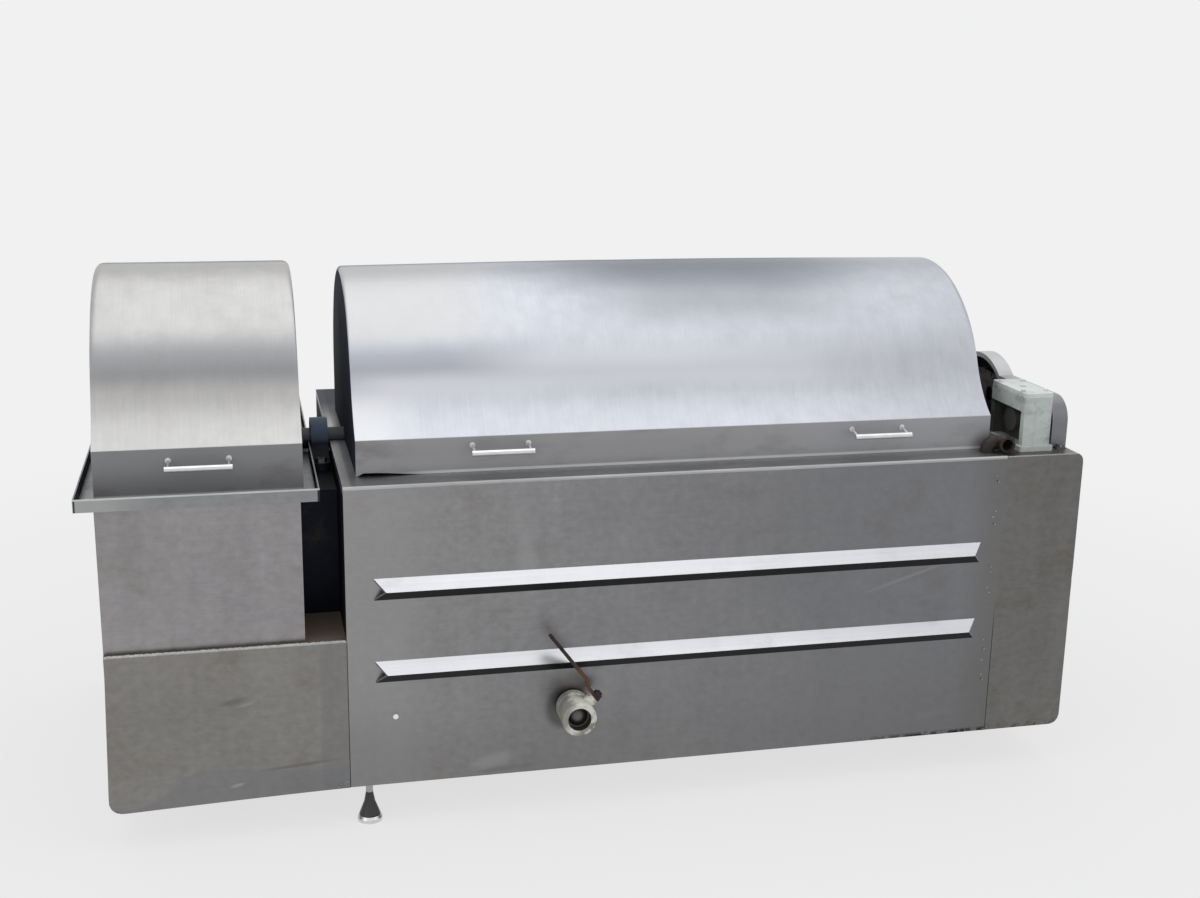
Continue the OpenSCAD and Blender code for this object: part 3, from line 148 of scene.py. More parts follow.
class Tree:
    """A node tree that is filled through a few short methods."""

    def __init__(self, node_tree):
        self.t = node_tree

    def node(self, kind, inputs=None, out=0, **settings):
        n = self.t.nodes.new(kind)
        for name, value in settings.items():
            setattr(n, name, value)
        for key, value in (inputs or {}).items():
            self.set(find(n.inputs, key), value)
        return Wire(self, find(n.outputs, out)) if len(n.outputs) else n

    def shade(self, kind, inputs=None, out=0, **settings):
        return self.node("ShaderNode" + kind, inputs, out, **settings)

    def geo(self, kind, inputs=None, out=0, **settings):
        return self.node("GeometryNode" + kind, inputs, out, **settings)

    def set(self, socket, value):
        """A wire is linked, a list of wires all go into one socket, and anything else is a fixed value."""
        if isinstance(value, (Wire, list)):
            for wire in value if isinstance(value, list) else [value]:
                self.t.links.new(wire.socket, socket)
        else:
            socket.default_value = value

    def xyz(self, x=0.0, y=0.0, z=0.0):
        return self.shade("CombineXYZ", {0: x, 1: y, 2: z})

    def joined(self, pieces):
        return self.geo("JoinGeometry", {0: pieces})

    def placed(self, geometry, by=(0, 0, 0), turn=(0, 0, 0)):
        return self.geo("Transform", {"Geometry": geometry, "Translation": by, "Rotation": turn})

    def circle(self, radius, count=32):
        return self.geo("CurvePrimitiveCircle", {"Resolution": count, "Radius": radius}, mode="RADIUS")

    def line(self, start, stop):
        return self.geo("CurvePrimitiveLine", {"Start": start, "End": stop}, mode="POINTS")

    def copies(self, points, piece, **more):
        return self.geo("InstanceOnPoints", {"Points": points, "Instance": piece} | more)


print("wires ready")

# %% [markdown]
# ## What every finish shares
# A finish starts from the point on the piece, in metres. Noise that is stretched one way gives
# the brush marks of the plate mill and the runs that water leaves; round noise gives clouds
# and blots. Each helper here adds one such pattern, from 0 to 1.


# %% Finish
class Finish(Tree):
    """A material with a Principled shader, filled in by the recipe that makes it."""

    def __init__(self, name):
        self.material = looks[name] = bpy.data.materials.new(name)
        self.material.use_nodes = True
        super().__init__(self.material.node_tree)
        self.t.nodes.clear()
        self.matt = 0.0
        self.point = self.shade("TexCoord", out="Object")
        xyz = self.shade("SeparateXYZ", {0: self.point})
        self.x, self.y, self.z = xyz, xyz.out("Y"), xyz.out("Z")

    def noise(self, stretch, detail=2.0, rough=0.5, shift=(0, 0, 0)):
        """Noise with so many lumps per metre: three numbers, or one for every way."""
        stretch = stretch if isinstance(stretch, tuple) else (stretch,) * 3
        at = self.shade("Mapping", {"Vector": self.point, "Scale": stretch, "Location": shift})
        return self.shade("TexNoise", {"Vector": at, "Scale": 1.0, "Detail": detail, "Roughness": rough})

    def from_axis(self, across, up):
        """Distance from a line, given the two wires that measure it off its axis."""
        square = across * across + up * up
        return square.math("SQRT", square)

    def mix(self, factor, a, b):
        inputs = {"Factor_Float": factor, "A_Color": a, "B_Color": b}
        return self.shade("Mix", inputs, "Result_Color", data_type="RGBA")

    def layered(self, colour, layers):
        """Lays each tint over the colour where its mask is up, the last on top."""
        for mask, *tint in layers:
            colour = self.mix(mask, colour, rgb(*tint))
        return colour

    def finish(self, colour, rough, metal, bumps, **fixed):
        """bumps are (height, strength, distance in metres), the broadest first."""
        sockets = {}
        for height, strength, distance in bumps:
            sockets |= {"Height": height, "Strength": strength, "Distance": distance}
            sockets = {"Normal": self.shade("Bump", sockets)}
        sockets |= {"Base Color": colour, "Roughness": rough, "Metallic": metal}
        sockets |= {k.replace("_", " "): v for k, v in fixed.items()}
        shader = self.shade("BsdfPrincipled", sockets)
        self.shade("OutputMaterial", {"Surface": shader})


def rgb(r, g=None, b=None):
    """A colour; one number alone makes a grey."""
    return (r, r if g is None else g, r if b is None else b, 1.0)


def scaled(colour, k):
    return tuple(min(1.0, c * k) for c in colour) + (1.0,)


# %% [markdown]
# ## Stainless plate
# Mill-finished stainless plate is a grey metal with a satin face: it mirrors its surroundings
# only as broad soft patches. Years of wet work leave pale runs, cloudy patches and a thin
# brown bloom. One recipe makes every plate, with its tone, its stain and its wear as values.


# %% The plate recipe
def plate(name, tone, stain, streak, cloud, rough, shade=None, brown=(0.20, 0.165, 0.125),
          speckle=1.1, grain=(3, 420, 420)):
    f = Finish(name)
    clouds = f.noise((2.1, 2.1, 2.6), 3.0, 0.55)
    runs = f.noise((26, 26, 1.1), 3.0, 0.6)
    brush = f.noise(grain, 2.0, 0.6)
    blots = f.noise((7, 7, 9), 6.0, 0.68, (3.1, 1.7, 0.4))
    mottle = f.noise((46, 46, 60), 4.0, 0.62, (0.9, 0.3, 1.4))
    level = 0.5 + (clouds - 0.5) * (cloud * 4) + (runs - 0.5) * (streak * 3)
    level = (level + (mottle - 0.5) * speckle + (brush - 0.5) * 0.5).clamp()
    colour = f.mix(level, scaled(tone, 0.80), scaled(tone, 1.20))
    bloom = blots.step(0.52, 0.72) * stain
    colour = f.mix(bloom, colour, rgb(*brown))
    if shade:
        colour = f.layered(colour, shade(f))
    dull = rough - 0.05 + clouds * 0.08 + brush * 0.05 + bloom * 0.5 + f.matt * 0.4
    wavy = f.noise((4.5, 4.5, 5.5), 1.0, 0.4, (0.3, 0.9, 0.2))
    bumps = [(wavy, 0.6, 0.004), (brush, 0.25, 0.0002)]
    f.finish(colour, dull.clamp(0.08, 0.9), 1.0 - f.matt, bumps, Specular_IOR_Level=0.15)


# %% [markdown]
# ## Painted light, shade and wear on the plates
# Each recipe returns layers: a mask and a tint, as one grey or as red, green and blue. The
# masks are steps over the machine's own x, y and z in metres, blurred by a drift of noise. Many
# layers are painted light and shade: bands copied from reflections, painted shade in gaps,
# recesses and under ledges, and painted highlights on edges; the rest are stains, dirt and wear.
# Where a layer is paint, dirt, oxide, painted shade or a painted highlight, the surface is not
# metal to the eye, so a recipe may set f.matt as well.


# %% Painted light, shade and wear on the hoods
def hood_marks(f):
    """Drift, blots, and the upright lip under the fold."""
    drift = f.noise((1.6, 1.6, 3.0), 3.0, 0.5, (0.5, 0.2, 0.7)) - 0.5
    blots = f.noise((9, 9, 22), 4.0, 0.6, (0.3, 0.8, 0.2))
    return drift, blots, f.z.step(0.8865, 0.8855) * f.y.step(-0.30, -0.34)


def crown_line(f):
    """Painted shade: behind the crown, where the plate turns away, it is painted slate blue and made matt."""
    behind = f.y.between(-0.005, 0.045, 0.075, 0.14) * f.z.step(1.0, 1.1)
    f.matt = behind * 0.7
    return behind * 0.8


def hood_light_and_wear(f):
    """Painted light and shade copied from the hood's reflections, with a painted highlight on the hem; the
    upright lip is painted darker as shade, and its blots are stains.
    """
    drift, blots, lip = hood_marks(f)
    x, z = f.x + drift * 0.35, f.z + drift * 0.04
    # Painted reflections: a darker film and a darker top on the crown, a lighter band across the middle, a
    # darker shade band and a lighter lower part on the left, and a warm patch upper left.
    crown_dark_reflection = z.step(1.065, 1.15) * x.between(-0.16, 0.14, 0.42, 0.80)
    top = z.step(1.150, 1.195) * x.between(-0.25, 0.05, 0.50, 0.85)
    bright_reflection_band = z.between(0.950, 0.995, 1.020, 1.075) * x.between(-0.60, -0.45, 0.35, 0.85)
    shade = z.between(0.995, 1.030, 1.050, 1.095) * x.step(-0.08, -0.36)
    left = z.step(1.0, 0.96) * x.step(-0.34, -0.50)
    warm = z.step(1.05, 1.11) * x.step(-0.10, -0.38)
    # Painted highlight along the lip's bottom hem, on the left.
    hem = lip * f.z.step(0.8135, 0.8100) * (0.75 + drift * 1.5).clamp() * f.x.step(-0.50, -0.38)
    left_blots = (f.x + drift * 0.5).step(-0.42, -0.55) * blots.step(0.4, 0.55) * 0.4
    stained = lip * (blots.step(0.50, 0.72) * 0.22 + left_blots)
    line = crown_line(f) * (1 - f.x.step(0.35, 0.75) * 0.9)
    f.matt = f.matt * (1 - f.x.step(0.35, 0.75)) + lip * 0.3
    # The upright lip is painted darker as shade, lighter toward the right and toward its lower edge, and made
    # duller; its blots are stains. The line along the crown is painted shade.
    return [
        (warm * 0.75, 0.49, 0.485, 0.475), (crown_dark_reflection * 0.76, 0.26, 0.27, 0.29),
        (top * 0.5, 0.13, 0.145, 0.175), (bright_reflection_band * 0.95, 0.60, 0.61, 0.65),
        (shade * 0.75, 0.33, 0.342, 0.385), (left * 0.8, 0.56, 0.565, 0.58),
        (line, 0.16, 0.20, 0.25), (lip, 0.335, 0.332, 0.345),
        (lip * f.x.step(0.0, 0.8) * 0.6, 0.38, 0.385, 0.405),
        (lip * f.z.step(0.86, 0.82) * 0.5, 0.46, 0.46, 0.47),
        (stained, 0.16, 0.145, 0.13), (hem, 0.85, 0.85, 0.86),
    ]


def rinse_hood_light_and_wear(f):
    drift, blots, lip = hood_marks(f)
    # Painted highlight along the lip's bottom hem, and a painted shade band across the hood.
    hem = lip * f.z.step(0.7885, 0.7850) * (0.6 + drift * 1.5).clamp()
    band = (f.z + drift * 0.03).between(0.985, 1.035, 1.062, 1.125)
    line = crown_line(f)
    f.matt = f.matt + lip * 0.35
    # The upright lip is painted darker as shade and made duller; its blots are stains. The line along the
    # crown is painted shade.
    return [
        (band * 0.72, 0.235, 0.24, 0.255), (lip, 0.27, 0.272, 0.28),
        (lip * blots.step(0.5, 0.7) * 0.3, 0.13, 0.12, 0.11),
        (line, 0.12, 0.16, 0.21), (hem, 0.6),
    ]


def end_shade(f):
    """Hardly any light falls on the end plates that face each other across the gap."""
    f.matt = f.x.between(-0.74, -0.70, -0.53, -0.50)
    return [(f.matt, 0.024, 0.033, 0.052)]


# %% Painted light, shade and wear on the front plates
ball_low, ball_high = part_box("valve_ball")
ball = (ball_low + ball_high) / 2

# each painted dent shading mark: middle x and z, half length, half width, lean, tone
base_dent_shading = (
    (-0.8505, 0.333, 0.040, 0.010, 0.20, 0.15), (-0.8375, 0.318, 0.050, 0.007, 0.35, 0.33),
    (-0.9225, 0.252, 0.022, 0.012, 0.6, 0.15), (-0.9375, 0.223, 0.080, 0.008, 0.65, 0.32),
    (-0.9525, 0.205, 0.075, 0.008, 0.65, 0.15), (-0.8475, 0.135, 0.022, 0.006, 0.2, 0.36),
    (-0.7125, 0.171, 0.12, 0.006, 0.08, 0.15),
)
tank_dent_shading = (
    (0.72, 0.520, 0.16, 0.006, 0.30, 0.25), (-0.28, 0.140, 0.07, 0.026, 0.20, 0.285),
    (-0.24, 0.118, 0.10, 0.008, 0.05, 0.17), (0.80, 0.16, 0.08, 0.014, 0.10, 0.19),
    (-0.20, 0.62, 0.03, 0.10, 0.10, 0.31), (0.30, 0.60, 0.02, 0.12, 0.05, 0.20),
)


def front_face(f):
    """Up on the outer faces of the front plates only."""
    return f.y.step(-0.4585, -0.4592)


def small_chips(f):
    """A few millimetres across, for chipped paint and dirt near the floor."""
    return f.noise(60, 5.0, 0.7, (0.2, 0.6, 0.1))


# Painted light and shade: soft lighter and darker marks stand for the dents catching light.
def painted_dent_shading(f, front, marks):
    drift = f.noise(3, 2.0, 0.5, (0.6, 0.1, 0.2)) - 0.5
    layers = []
    for x, z, long, wide, lean, level in marks:
        dx, dz = f.x - x, f.z - z
        along = (dx * math.cos(lean) + dz * math.sin(lean)) / long
        over = (dz * math.cos(lean) - dx * math.sin(lean)) / wide
        mask = front * f.from_axis(along, over + drift * 0.8).step(1.0, 0.25) * 0.7
        layers.append((mask, level, level, level * 1.02))
    return layers


def panel_light_and_wear(f):
    """The tank's front darkens to the right and low down. Its left end, seen in the gap, is painted nearly
    black as shade; the top edge has a painted highlight and the dents painted shading.
    """
    drift = f.noise((1.3, 1.3, 2.0), 3.0, 0.5, (0.1, 0.8, 0.3)) - 0.5
    chips, front = small_chips(f), front_face(f)
    right = (f.x + drift * 0.9).step(-0.6, 1.0)
    left = (f.x + drift * 0.2).step(-0.38, -0.52)
    joint = f.x.step(0.84, 0.95)
    low = (f.z + drift * 0.3).step(0.42, 0.10)
    # Painted shade: the tank's left end, seen in the gap.
    inner = f.x.step(-0.6018, -0.6022) * f.z.step(0.80, 0.78) * f.x.step(-0.61, -0.605)
    plug = f.from_axis(f.x + 0.4985, f.z - 0.271).step(0.0068, 0.0062) * f.y.step(-0.4597, -0.4600)
    right_gap = f.x.step(0.9498, 0.9512) * f.z.step(0.46, 0.34)
    left_gap = f.x.step(-0.6000, -0.6012) * f.z.step(0.46, 0.44)
    gap = front * (right_gap + left_gap).clamp()
    foot = front * (f.z + (chips - 0.5) * 0.06).step(0.122, 0.108)
    foot = foot * f.x.step(0.84, 0.90) * chips.step(0.48, 0.56)
    # Painted highlight along the top edge.
    edge = front * (f.z + drift * 0.004).step(0.7975, 0.7988) * (0.55 + drift * 1.5).clamp()
    # Darker round the valve, a little below and to its left.
    off = f.from_axis(f.x - ball.x + 0.010, f.z - ball.z + 0.006)
    darker_round_valve = front * (off + drift * 0.04).step(0.062, 0.040)
    black = front * f.z.step(0.118, 0.107) * (f.x.step(0.55, 0.80) * chips.step(0.42, 0.5))
    f.matt = (inner + gap + edge * 0.6).clamp()
    return [
        (left * 0.55, 0.34, 0.335, 0.33), (right * 0.70, 0.148, 0.154, 0.168),
        (joint * 0.7, 0.155, 0.152, 0.146), (edge, 0.62), (low * 0.3, 0.135, 0.13, 0.125),
        (inner, 0.004, 0.005, 0.011), (gap * 0.8, 0.02, 0.02, 0.022),
        (foot * 0.9, 0.015, 0.014, 0.012), (darker_round_valve * 0.65, 0.05, 0.05, 0.046),
        (black * 0.9, 0.015, 0.014, 0.012), *painted_dent_shading(f, front, tank_dent_shading), (plug, 0.85),
    ]


def base_light_and_wear(f):
    """The kicked strip under the crease is painted bluish, a painted reflection; the top edge has a painted
    highlight, brown dirt lies on the hidden top, and the dents have painted shading.
    """
    front = front_face(f)
    drift = f.noise(3, 2.0, 0.5, (0.6, 0.1, 0.2)) - 0.5
    across = f.x + 1.1125
    crease = 0.100 + across.step(0.05, 0.20) * 0.078 - (across - 0.19).clamp() * 0.07
    # Painted reflection: the bent strip under the crease is bluish.
    strip = front * (f.z - crease + drift * 0.02).step(0.004, -0.006)
    side = front * (f.x + drift * 0.02).step(-0.664, -0.655)
    # Painted highlight along the top edge.
    edge = front * (f.z + drift * 0.004).step(0.4515, 0.4530)
    f.matt = f.z.step(0.4538, 0.4546) * f.y.step(-0.457, -0.452)
    return [
        (strip * 0.45, 0.19, 0.20, 0.22), (side * 0.3, 0.17, 0.18, 0.19),
        (edge * 0.8, 0.56, 0.56, 0.55), (f.matt * 0.9, 0.16, 0.12, 0.095), *painted_dent_shading(f, front, base_dent_shading),
    ]


def housing_light_and_wear(f):
    chips = small_chips(f)
    foot = (f.z + (chips - 0.5) * 0.08).step(0.130, 0.110) * chips.step(0.5, 0.6)
    # Painted highlight along the top edge; the foot layer is dirt near the floor.
    edge = front_face(f) * f.z.step(0.8020, 0.8032)
    return [(foot, 0.02, 0.018, 0.016), (edge * 0.8, 0.42, 0.42, 0.41)]


# %% Painted light and shade on rim, guard and ribs
def rim_light_and_shade(f):
    """Painted highlight on the front edge; painted shade on the tray's side walls and the rear of the left
    flange; painted light on the flange strip; the tray's front is lighter.
    """
    drift = f.noise(5, 3.0, 0.6, (0.2, 0.5, 0.3)) - 0.5
    edge = (f.y + drift * 0.003).step(-0.4545, -0.4560) * f.z.step(0.8018, 0.8022)
    left_side = f.x.between(-1.1515, -1.1505, -1.1485, -1.1470)
    right_side = f.x.step(-0.6560, -0.6545) * f.x.step(-0.6495, -0.6505)
    sides = (left_side + right_side).clamp() * f.z.step(0.8049, 0.8045)
    rear = f.y.step(0.10, 0.40) * f.x.between(-0.6030, -0.6025, -0.56, -0.48)
    rear = rear * f.z.step(0.8035, 0.8045)
    flange = f.x.between(-0.6030, -0.6025, -0.5880, -0.5800)
    tray = f.x.step(-0.95, -1.12) * f.y.step(-0.455, -0.458)
    f.matt = (edge * 0.7 + sides + rear * 0.8).clamp()
    return [
        (tray * 0.7, 0.42), (flange * 0.8, 0.50, 0.49, 0.50), (rear * 0.9, 0.03, 0.035, 0.05),
        (sides * 0.95, 0.02, 0.024, 0.035), (edge * (0.75 + drift * 1.2).clamp(), 0.70),
    ]


def guard_light_and_shade(f):
    """Painted shade: the inside of the guard is painted black, and the lower part of its band darker; the top
    of the band has a painted highlight.
    """
    inside = f.from_axis(f.y + 0.0095, f.z - 0.805).step(0.1592, 0.1585)
    inside = inside * f.x.step(1.1368, 1.1362) * f.x.step(1.0976, 1.0982)
    band = f.x.between(1.0977, 1.0981, 1.1369, 1.1373)
    low = band * f.y.step(-0.12, -0.34) * f.z.step(0.94, 0.90)
    f.matt = inside
    return [
        (band * f.z.step(0.92, 0.955) * 0.7, 0.60, 0.60, 0.61), (low * 0.8, 0.15, 0.152, 0.17),
        (inside * 0.93, 0.012, 0.011, 0.010),
    ]


def painted_underside_shade(f):
    # Painted shade on faces that point down or to the left: under the ribs and at their ends.
    facing = f.shade("SeparateXYZ", {0: f.shade("NewGeometry", out="Normal")})
    dark = (facing.out("Z").step(-0.1, -0.4) + facing.step(-0.5, -0.8)).clamp()
    return [(dark * 0.97, 0.010, 0.010, 0.012)]


def half_matt(f):
    """Oxide leaves a weld pale and half matt."""
    f.matt = 0.5
    return []


# %% Every plate
rolled_face = {"speckle": 0.25, "grain": (420, 4, 9)}

# each plate: name, tone, stain, streak, cloud, roughness, and what else differs
for *values, more in (
    # The hood steel is painted much lighter than the front plates' steel: painted light on the upward hoods
    # and painted shade on the upright plates.
    ("hood_steel", (0.46, 0.475, 0.515), 0.06, 0.2, 0.10, 0.38, {"shade": hood_light_and_wear} | rolled_face),
    ("rinse_hood_steel", (0.435, 0.43, 0.42), 0.08, 0.2, 0.12, 0.38,
     {"shade": rinse_hood_light_and_wear} | rolled_face),
    ("panel_steel", (0.26, 0.258, 0.262), 0.28, 0.16, 0.28, 0.36, {"shade": panel_light_and_wear}),
    ("base_steel", (0.24, 0.231, 0.219), 0.35, 0.12, 0.3, 0.36,
     {"shade": base_light_and_wear, "brown": (0.19, 0.165, 0.125)}),
    ("rinse_steel", (0.30, 0.29, 0.295), 0.22, 0.2, 0.25, 0.36, {}),
    ("housing_steel", (0.162, 0.159, 0.152), 0.5, 0.15, 0.35, 0.36,
     {"shade": housing_light_and_wear, "brown": (0.135, 0.112, 0.085)}),
    ("rim_steel", (0.26, 0.265, 0.27), 0.3, 0.1, 0.3, 0.36, {"shade": rim_light_and_shade}),
    # The rib steel is painted lighter still, as painted light on the ribs' upward faces.
    ("rib_steel", (0.58, 0.585, 0.61), 0.10, 0.0, 0.3, 0.36,
     {"shade": painted_underside_shade, "speckle": 0.2, "grain": (2, 170, 170)}),
    ("end_steel", (0.30, 0.305, 0.31), 0.2, 0.1, 0.3, 0.42, {"shade": end_shade}),
    # Painted shade: the bridge and chute in the gap between the tanks are painted near black.
    ("gap_steel", (0.018, 0.020, 0.028), 0.15, 0.1, 0.4, 0.5, {}),
    ("guard_steel", (0.40, 0.405, 0.41), 0.35, 0.1, 0.4, 0.42, {"shade": guard_light_and_shade}),
    ("shaft_steel", (0.075, 0.08, 0.09), 0.2, 0.1, 0.3, 0.45, {}),
    ("handle_steel", (0.70, 0.70, 0.71), 0.05, 0.05, 0.1, 0.30, {}),
    ("frame_steel", (0.20, 0.205, 0.21), 0.35, 0.1, 0.4, 0.45, {}),
    ("bar_steel", (0.50, 0.51, 0.52), 0.08, 0.05, 0.15, 0.28, {}),
    ("weld_metal", (0.55, 0.55, 0.54), 0.3, 0.05, 0.4, 0.42, {"shade": half_matt}),
    ("spot_metal", (0.30, 0.305, 0.30), 0.3, 0.05, 0.4, 0.42, {}),
):
    plate(*values, **more)
print("plate finishes:", list(looks))

# %% [markdown]
# ## Castings, rust, rubber and plastic
# The gear reducer and the valve are painted or bare castings with a sand-cast grain. The lever
# and the elbow have rusted through. These are not metal to the eye, so Metallic falls where
# paint or rust covers the iron.


# %% Casting, rust and soft recipes
def casting(name, paint, worn=0.25, grime=0.4, rough=0.5, under=(0.10, 0.09, 0.08), shade=None, **fixed):
    f = Finish(name)
    grain = f.noise(420, 2.0, 0.6)
    patch = f.noise(38, 5.0, 0.62)
    dirt = f.noise((14, 14, 18), 6.0, 0.7, (0.7, 0.2, 0.9))
    soil = dirt.step(0.48, 0.74) * grime
    bare = patch.step(0.62, 0.70) * worn
    colour = f.mix(patch, scaled(paint, 0.82), scaled(paint, 1.18))
    colour = f.layered(colour, [(soil, 0.055, 0.048, 0.04), (bare, *under), *(shade(f) if shade else [])])
    bumps = [(patch, 0.3, 0.0006), (grain, 0.5, 0.0003)]
    f.finish(colour, (rough + soil * 0.3).clamp(), bare * 0.7, bumps, **fixed)


def rusted(name, sound, share=0.6, rough=0.6, depth=1.0, shade=None):
    f = Finish(name)
    flake = f.noise(90, 6.0, 0.68)
    patch = f.noise(24, 5.0, 0.6, (0.2, 0.4, 0.1))
    rust = f.mix(flake, scaled((0.055, 0.026, 0.016), depth), scaled((0.24, 0.115, 0.055), depth))
    cover = patch.step(0.62 - share * 0.3, 0.72 - share * 0.3)
    colour = f.mix(cover, f.mix(flake, scaled(sound, 0.8), scaled(sound, 1.2)), rust)
    if shade:
        colour = f.layered(colour, shade(f))
    f.finish(colour, (0.35 + cover * (rough - 0.2)).clamp(), 1 - cover * 0.85, [(flake, 0.6, 0.0006)])


def soft(name, tone, rough, fleck=0.15):
    f = Finish(name)
    fine = f.noise(300, 3.0, 0.6)
    dust = f.noise(26, 5.0, 0.65)
    colour = f.mix(dust, scaled(tone, 1 - fleck), scaled(tone, 1 + 2 * fleck))
    f.finish(colour, (rough + dust * 0.15).clamp(), 0.0, [(fine, 0.4, 0.0003)])


# %% Dirt and painted shade on the castings
def ring_shade_and_dirt(f):
    """The bore is painted black as shade and the left of the valve castings darker as painted shade; the
    lower right of the cream end ring is darker, partly painted shade and partly blots of dirt.
    """
    dx, dz = f.x - ball.x, f.z - ball.z
    bore = f.from_axis(dx, dz).step(0.0270, 0.0262)
    blot = f.noise(60, 4.0, 0.6, (0.3, 0.1, 0.8))
    low = (dx - dz + (blot - 0.5) * 0.05).step(0.0, 0.05) * blot.step(0.40, 0.56)
    left = (dx + dz * -0.25 + (blot - 0.5) * 0.03).step(-0.012, -0.032)
    return [
        (left * 0.75, 0.16, 0.155, 0.13), (low * 0.8, 0.10, 0.09, 0.07),
        (bore * 0.96, 0.010, 0.012, 0.009),
    ]


def ball_shade(f):
    off = f.from_axis(f.x - ball.x + 0.003, f.z - ball.z - 0.004)
    return [(off.step(0.006, 0.017) * 0.92, 0.006, 0.008, 0.006)]


def recess_shade(f):
    """Painted shade: the cast recess on the side of the case is painted dark, with a painted shadow line
    under its top and a dark back face.
    """
    short_of_end, behind_face = f.x.step(1.0345, 1.0335), f.y.step(-0.4050, -0.4040)
    below_top = f.z.step(0.9005, 0.8995)
    inside = f.x.step(1.0090, 1.0100) * short_of_end * behind_face * below_top * f.z.step(0.8165, 0.8175)
    under = short_of_end * f.z.between(0.888, 0.896, 0.899, 0.9002) * behind_face
    back = f.x.step(1.0200, 1.0100) * f.y.step(-0.2760, -0.2700) * below_top
    return [(inside * 0.94, 0.05, 0.045, 0.042), (back * 0.9, 0.05), (under * 0.9, 0.008, 0.018, 0.020)]


def lever_tones(f):
    """The lever is darker at its far end, orange-brown in the middle and dark again at its nut."""
    return [
        (f.x.step(-0.095, -0.118) * 0.75, 0.018, 0.014, 0.013),
        (f.x.between(-0.100, -0.088, -0.066, -0.056) * 0.5, 0.17, 0.078, 0.042),
        (f.x.step(-0.058, -0.050) * 0.8, 0.018, 0.016, 0.015),
    ]


def low_painted_shade(f):
    # Painted shade: the bearings are painted near black below their tops.
    return [(f.z.step(0.815, 0.800) * 0.93, 0.012, 0.013, 0.016)]


# %% Every casting, rusted piece and soft piece
casting("cover_paint", (0.66, 0.71, 0.68), worn=0.12, grime=0.5)
casting("case_paint", (0.52, 0.57, 0.545), worn=0.2, grime=0.55, shade=recess_shade)
casting("motor_paint", (0.16, 0.19, 0.20), worn=0.15)
casting("bearing_blue", (0.085, 0.15, 0.24), worn=0.15, shade=low_painted_shade)
casting("valve_cast", (0.76, 0.75, 0.67), grime=0.6, under=(0.2, 0.2, 0.19), shade=ring_shade_and_dirt)
casting("ball_steel", (0.13, 0.14, 0.12), worn=0.0, grime=0.3, rough=0.4, shade=ball_shade)
casting("elbow_rust", (0.030, 0.022, 0.019), worn=0.55, grime=0.6, rough=0.32,
        under=(0.50, 0.46, 0.44), Specular_IOR_Level=0.2)
rusted("lever_rust", (0.06, 0.048, 0.042), 0.75, depth=0.33, shade=lever_tones)
rusted("chain_iron", (0.055, 0.05, 0.048), 0.3, 0.5, 0.3)
rusted("nut_iron", (0.03, 0.026, 0.025), 0.5, 0.5, 0.2)
rusted("bolt_zinc", (0.38, 0.38, 0.37), 0.12, 0.45)
rusted("foot_chrome", (0.72, 0.72, 0.72), 0.02, 0.4)
rusted("brass", (0.42, 0.33, 0.17), 0.02, 0.4)
# Painted shade: the seats sit in the dark bore and are painted near black.
soft("seat_plastic", (0.10, 0.10, 0.09), 0.5, 0.2)
soft("foot_rubber", (0.035, 0.035, 0.034), 0.3)
print("materials:", len(looks))

# %% [markdown]
# ## A finish for every CAD piece
# The CAD pieces arrive as loose triangles, so round faces would look cut with a knife. A short
# Geometry Nodes modifier joins the triangles again and smooths across every edge that is
# flatter than thirty degrees. It leaves the shape alone.

# %% Finishes and smooth faces
finish_of = {
    "hood_steel": "wash_hood",
    "rinse_hood_steel": "rinse_hood",
    "panel_steel": "wash_tank",
    "base_steel": "base_box",
    "rinse_steel": "rinse_tank",
    "housing_steel": "drive_housing housing_panel",
    "rim_steel": "tank_rim rinse_tray wash_hinges rinse_hinges fixed_hinges",
    "guard_steel": "chain_guard",
    "gap_steel": "bearing_bridge transfer_chute",
    "handle_steel": "wash_handles rinse_handle",
    "rib_steel": "stiffener_ribs",
    "end_steel": "wash_hood_ends rinse_hood_ends",
    "shaft_steel": "drum_shaft",
    "nut_iron": "lever_nut valve_stem",
    "frame_steel": "support_frame bearing_bracket",
    "bar_steel": "wash_flight rinse_flight wash_bars wash_hoops wash_spiders rinse_bars rinse_hoops "
                 "rinse_spiders drain_nipple spray_pipe spray_brackets bearing_inserts output_shaft",
    "cover_paint": "reducer_cover",
    "case_paint": "reducer_case",
    "motor_paint": "drive_motor",
    "bearing_blue": "left_bearing right_bearing",
    "valve_cast": "valve_body valve_end_ring valve_gland",
    "ball_steel": "valve_ball",
    "lever_rust": "valve_lever",
    "elbow_rust": "inlet_elbow",
    "chain_iron": "drive_chain drum_sprocket drive_pinion",
    "bolt_zinc": "cover_screws foot_studs foot_nuts bearing_bolts",
    "foot_chrome": "foot_pads",
    "foot_rubber": "foot_bells",
    "brass": "spray_nozzles",
    "seat_plastic": "valve_seats",
}


sharp_fold, merge_distance = math.radians(30), 0.00001


def new_tree(name, **inputs):
    """A Geometry Nodes tree and its input wires, by name; "given" is the start mesh."""
    t = Tree(bpy.data.node_groups.new(name, "GeometryNodeTree"))
    face = t.t.interface
    face.new_socket("Geometry", in_out="INPUT", socket_type="NodeSocketGeometry")
    kinds = {int: "Int", float: "Float", tuple: "Vector"}
    for label, value in inputs.items():
        socket = face.new_socket(label, in_out="INPUT", socket_type="NodeSocket" + kinds[type(value)])
        socket.default_value = value
    face.new_socket("Geometry", in_out="OUTPUT", socket_type="NodeSocketGeometry")
    given = t.node("NodeGroupInput")
    return t, {label: given.out(label) for label in inputs} | {"given": given}


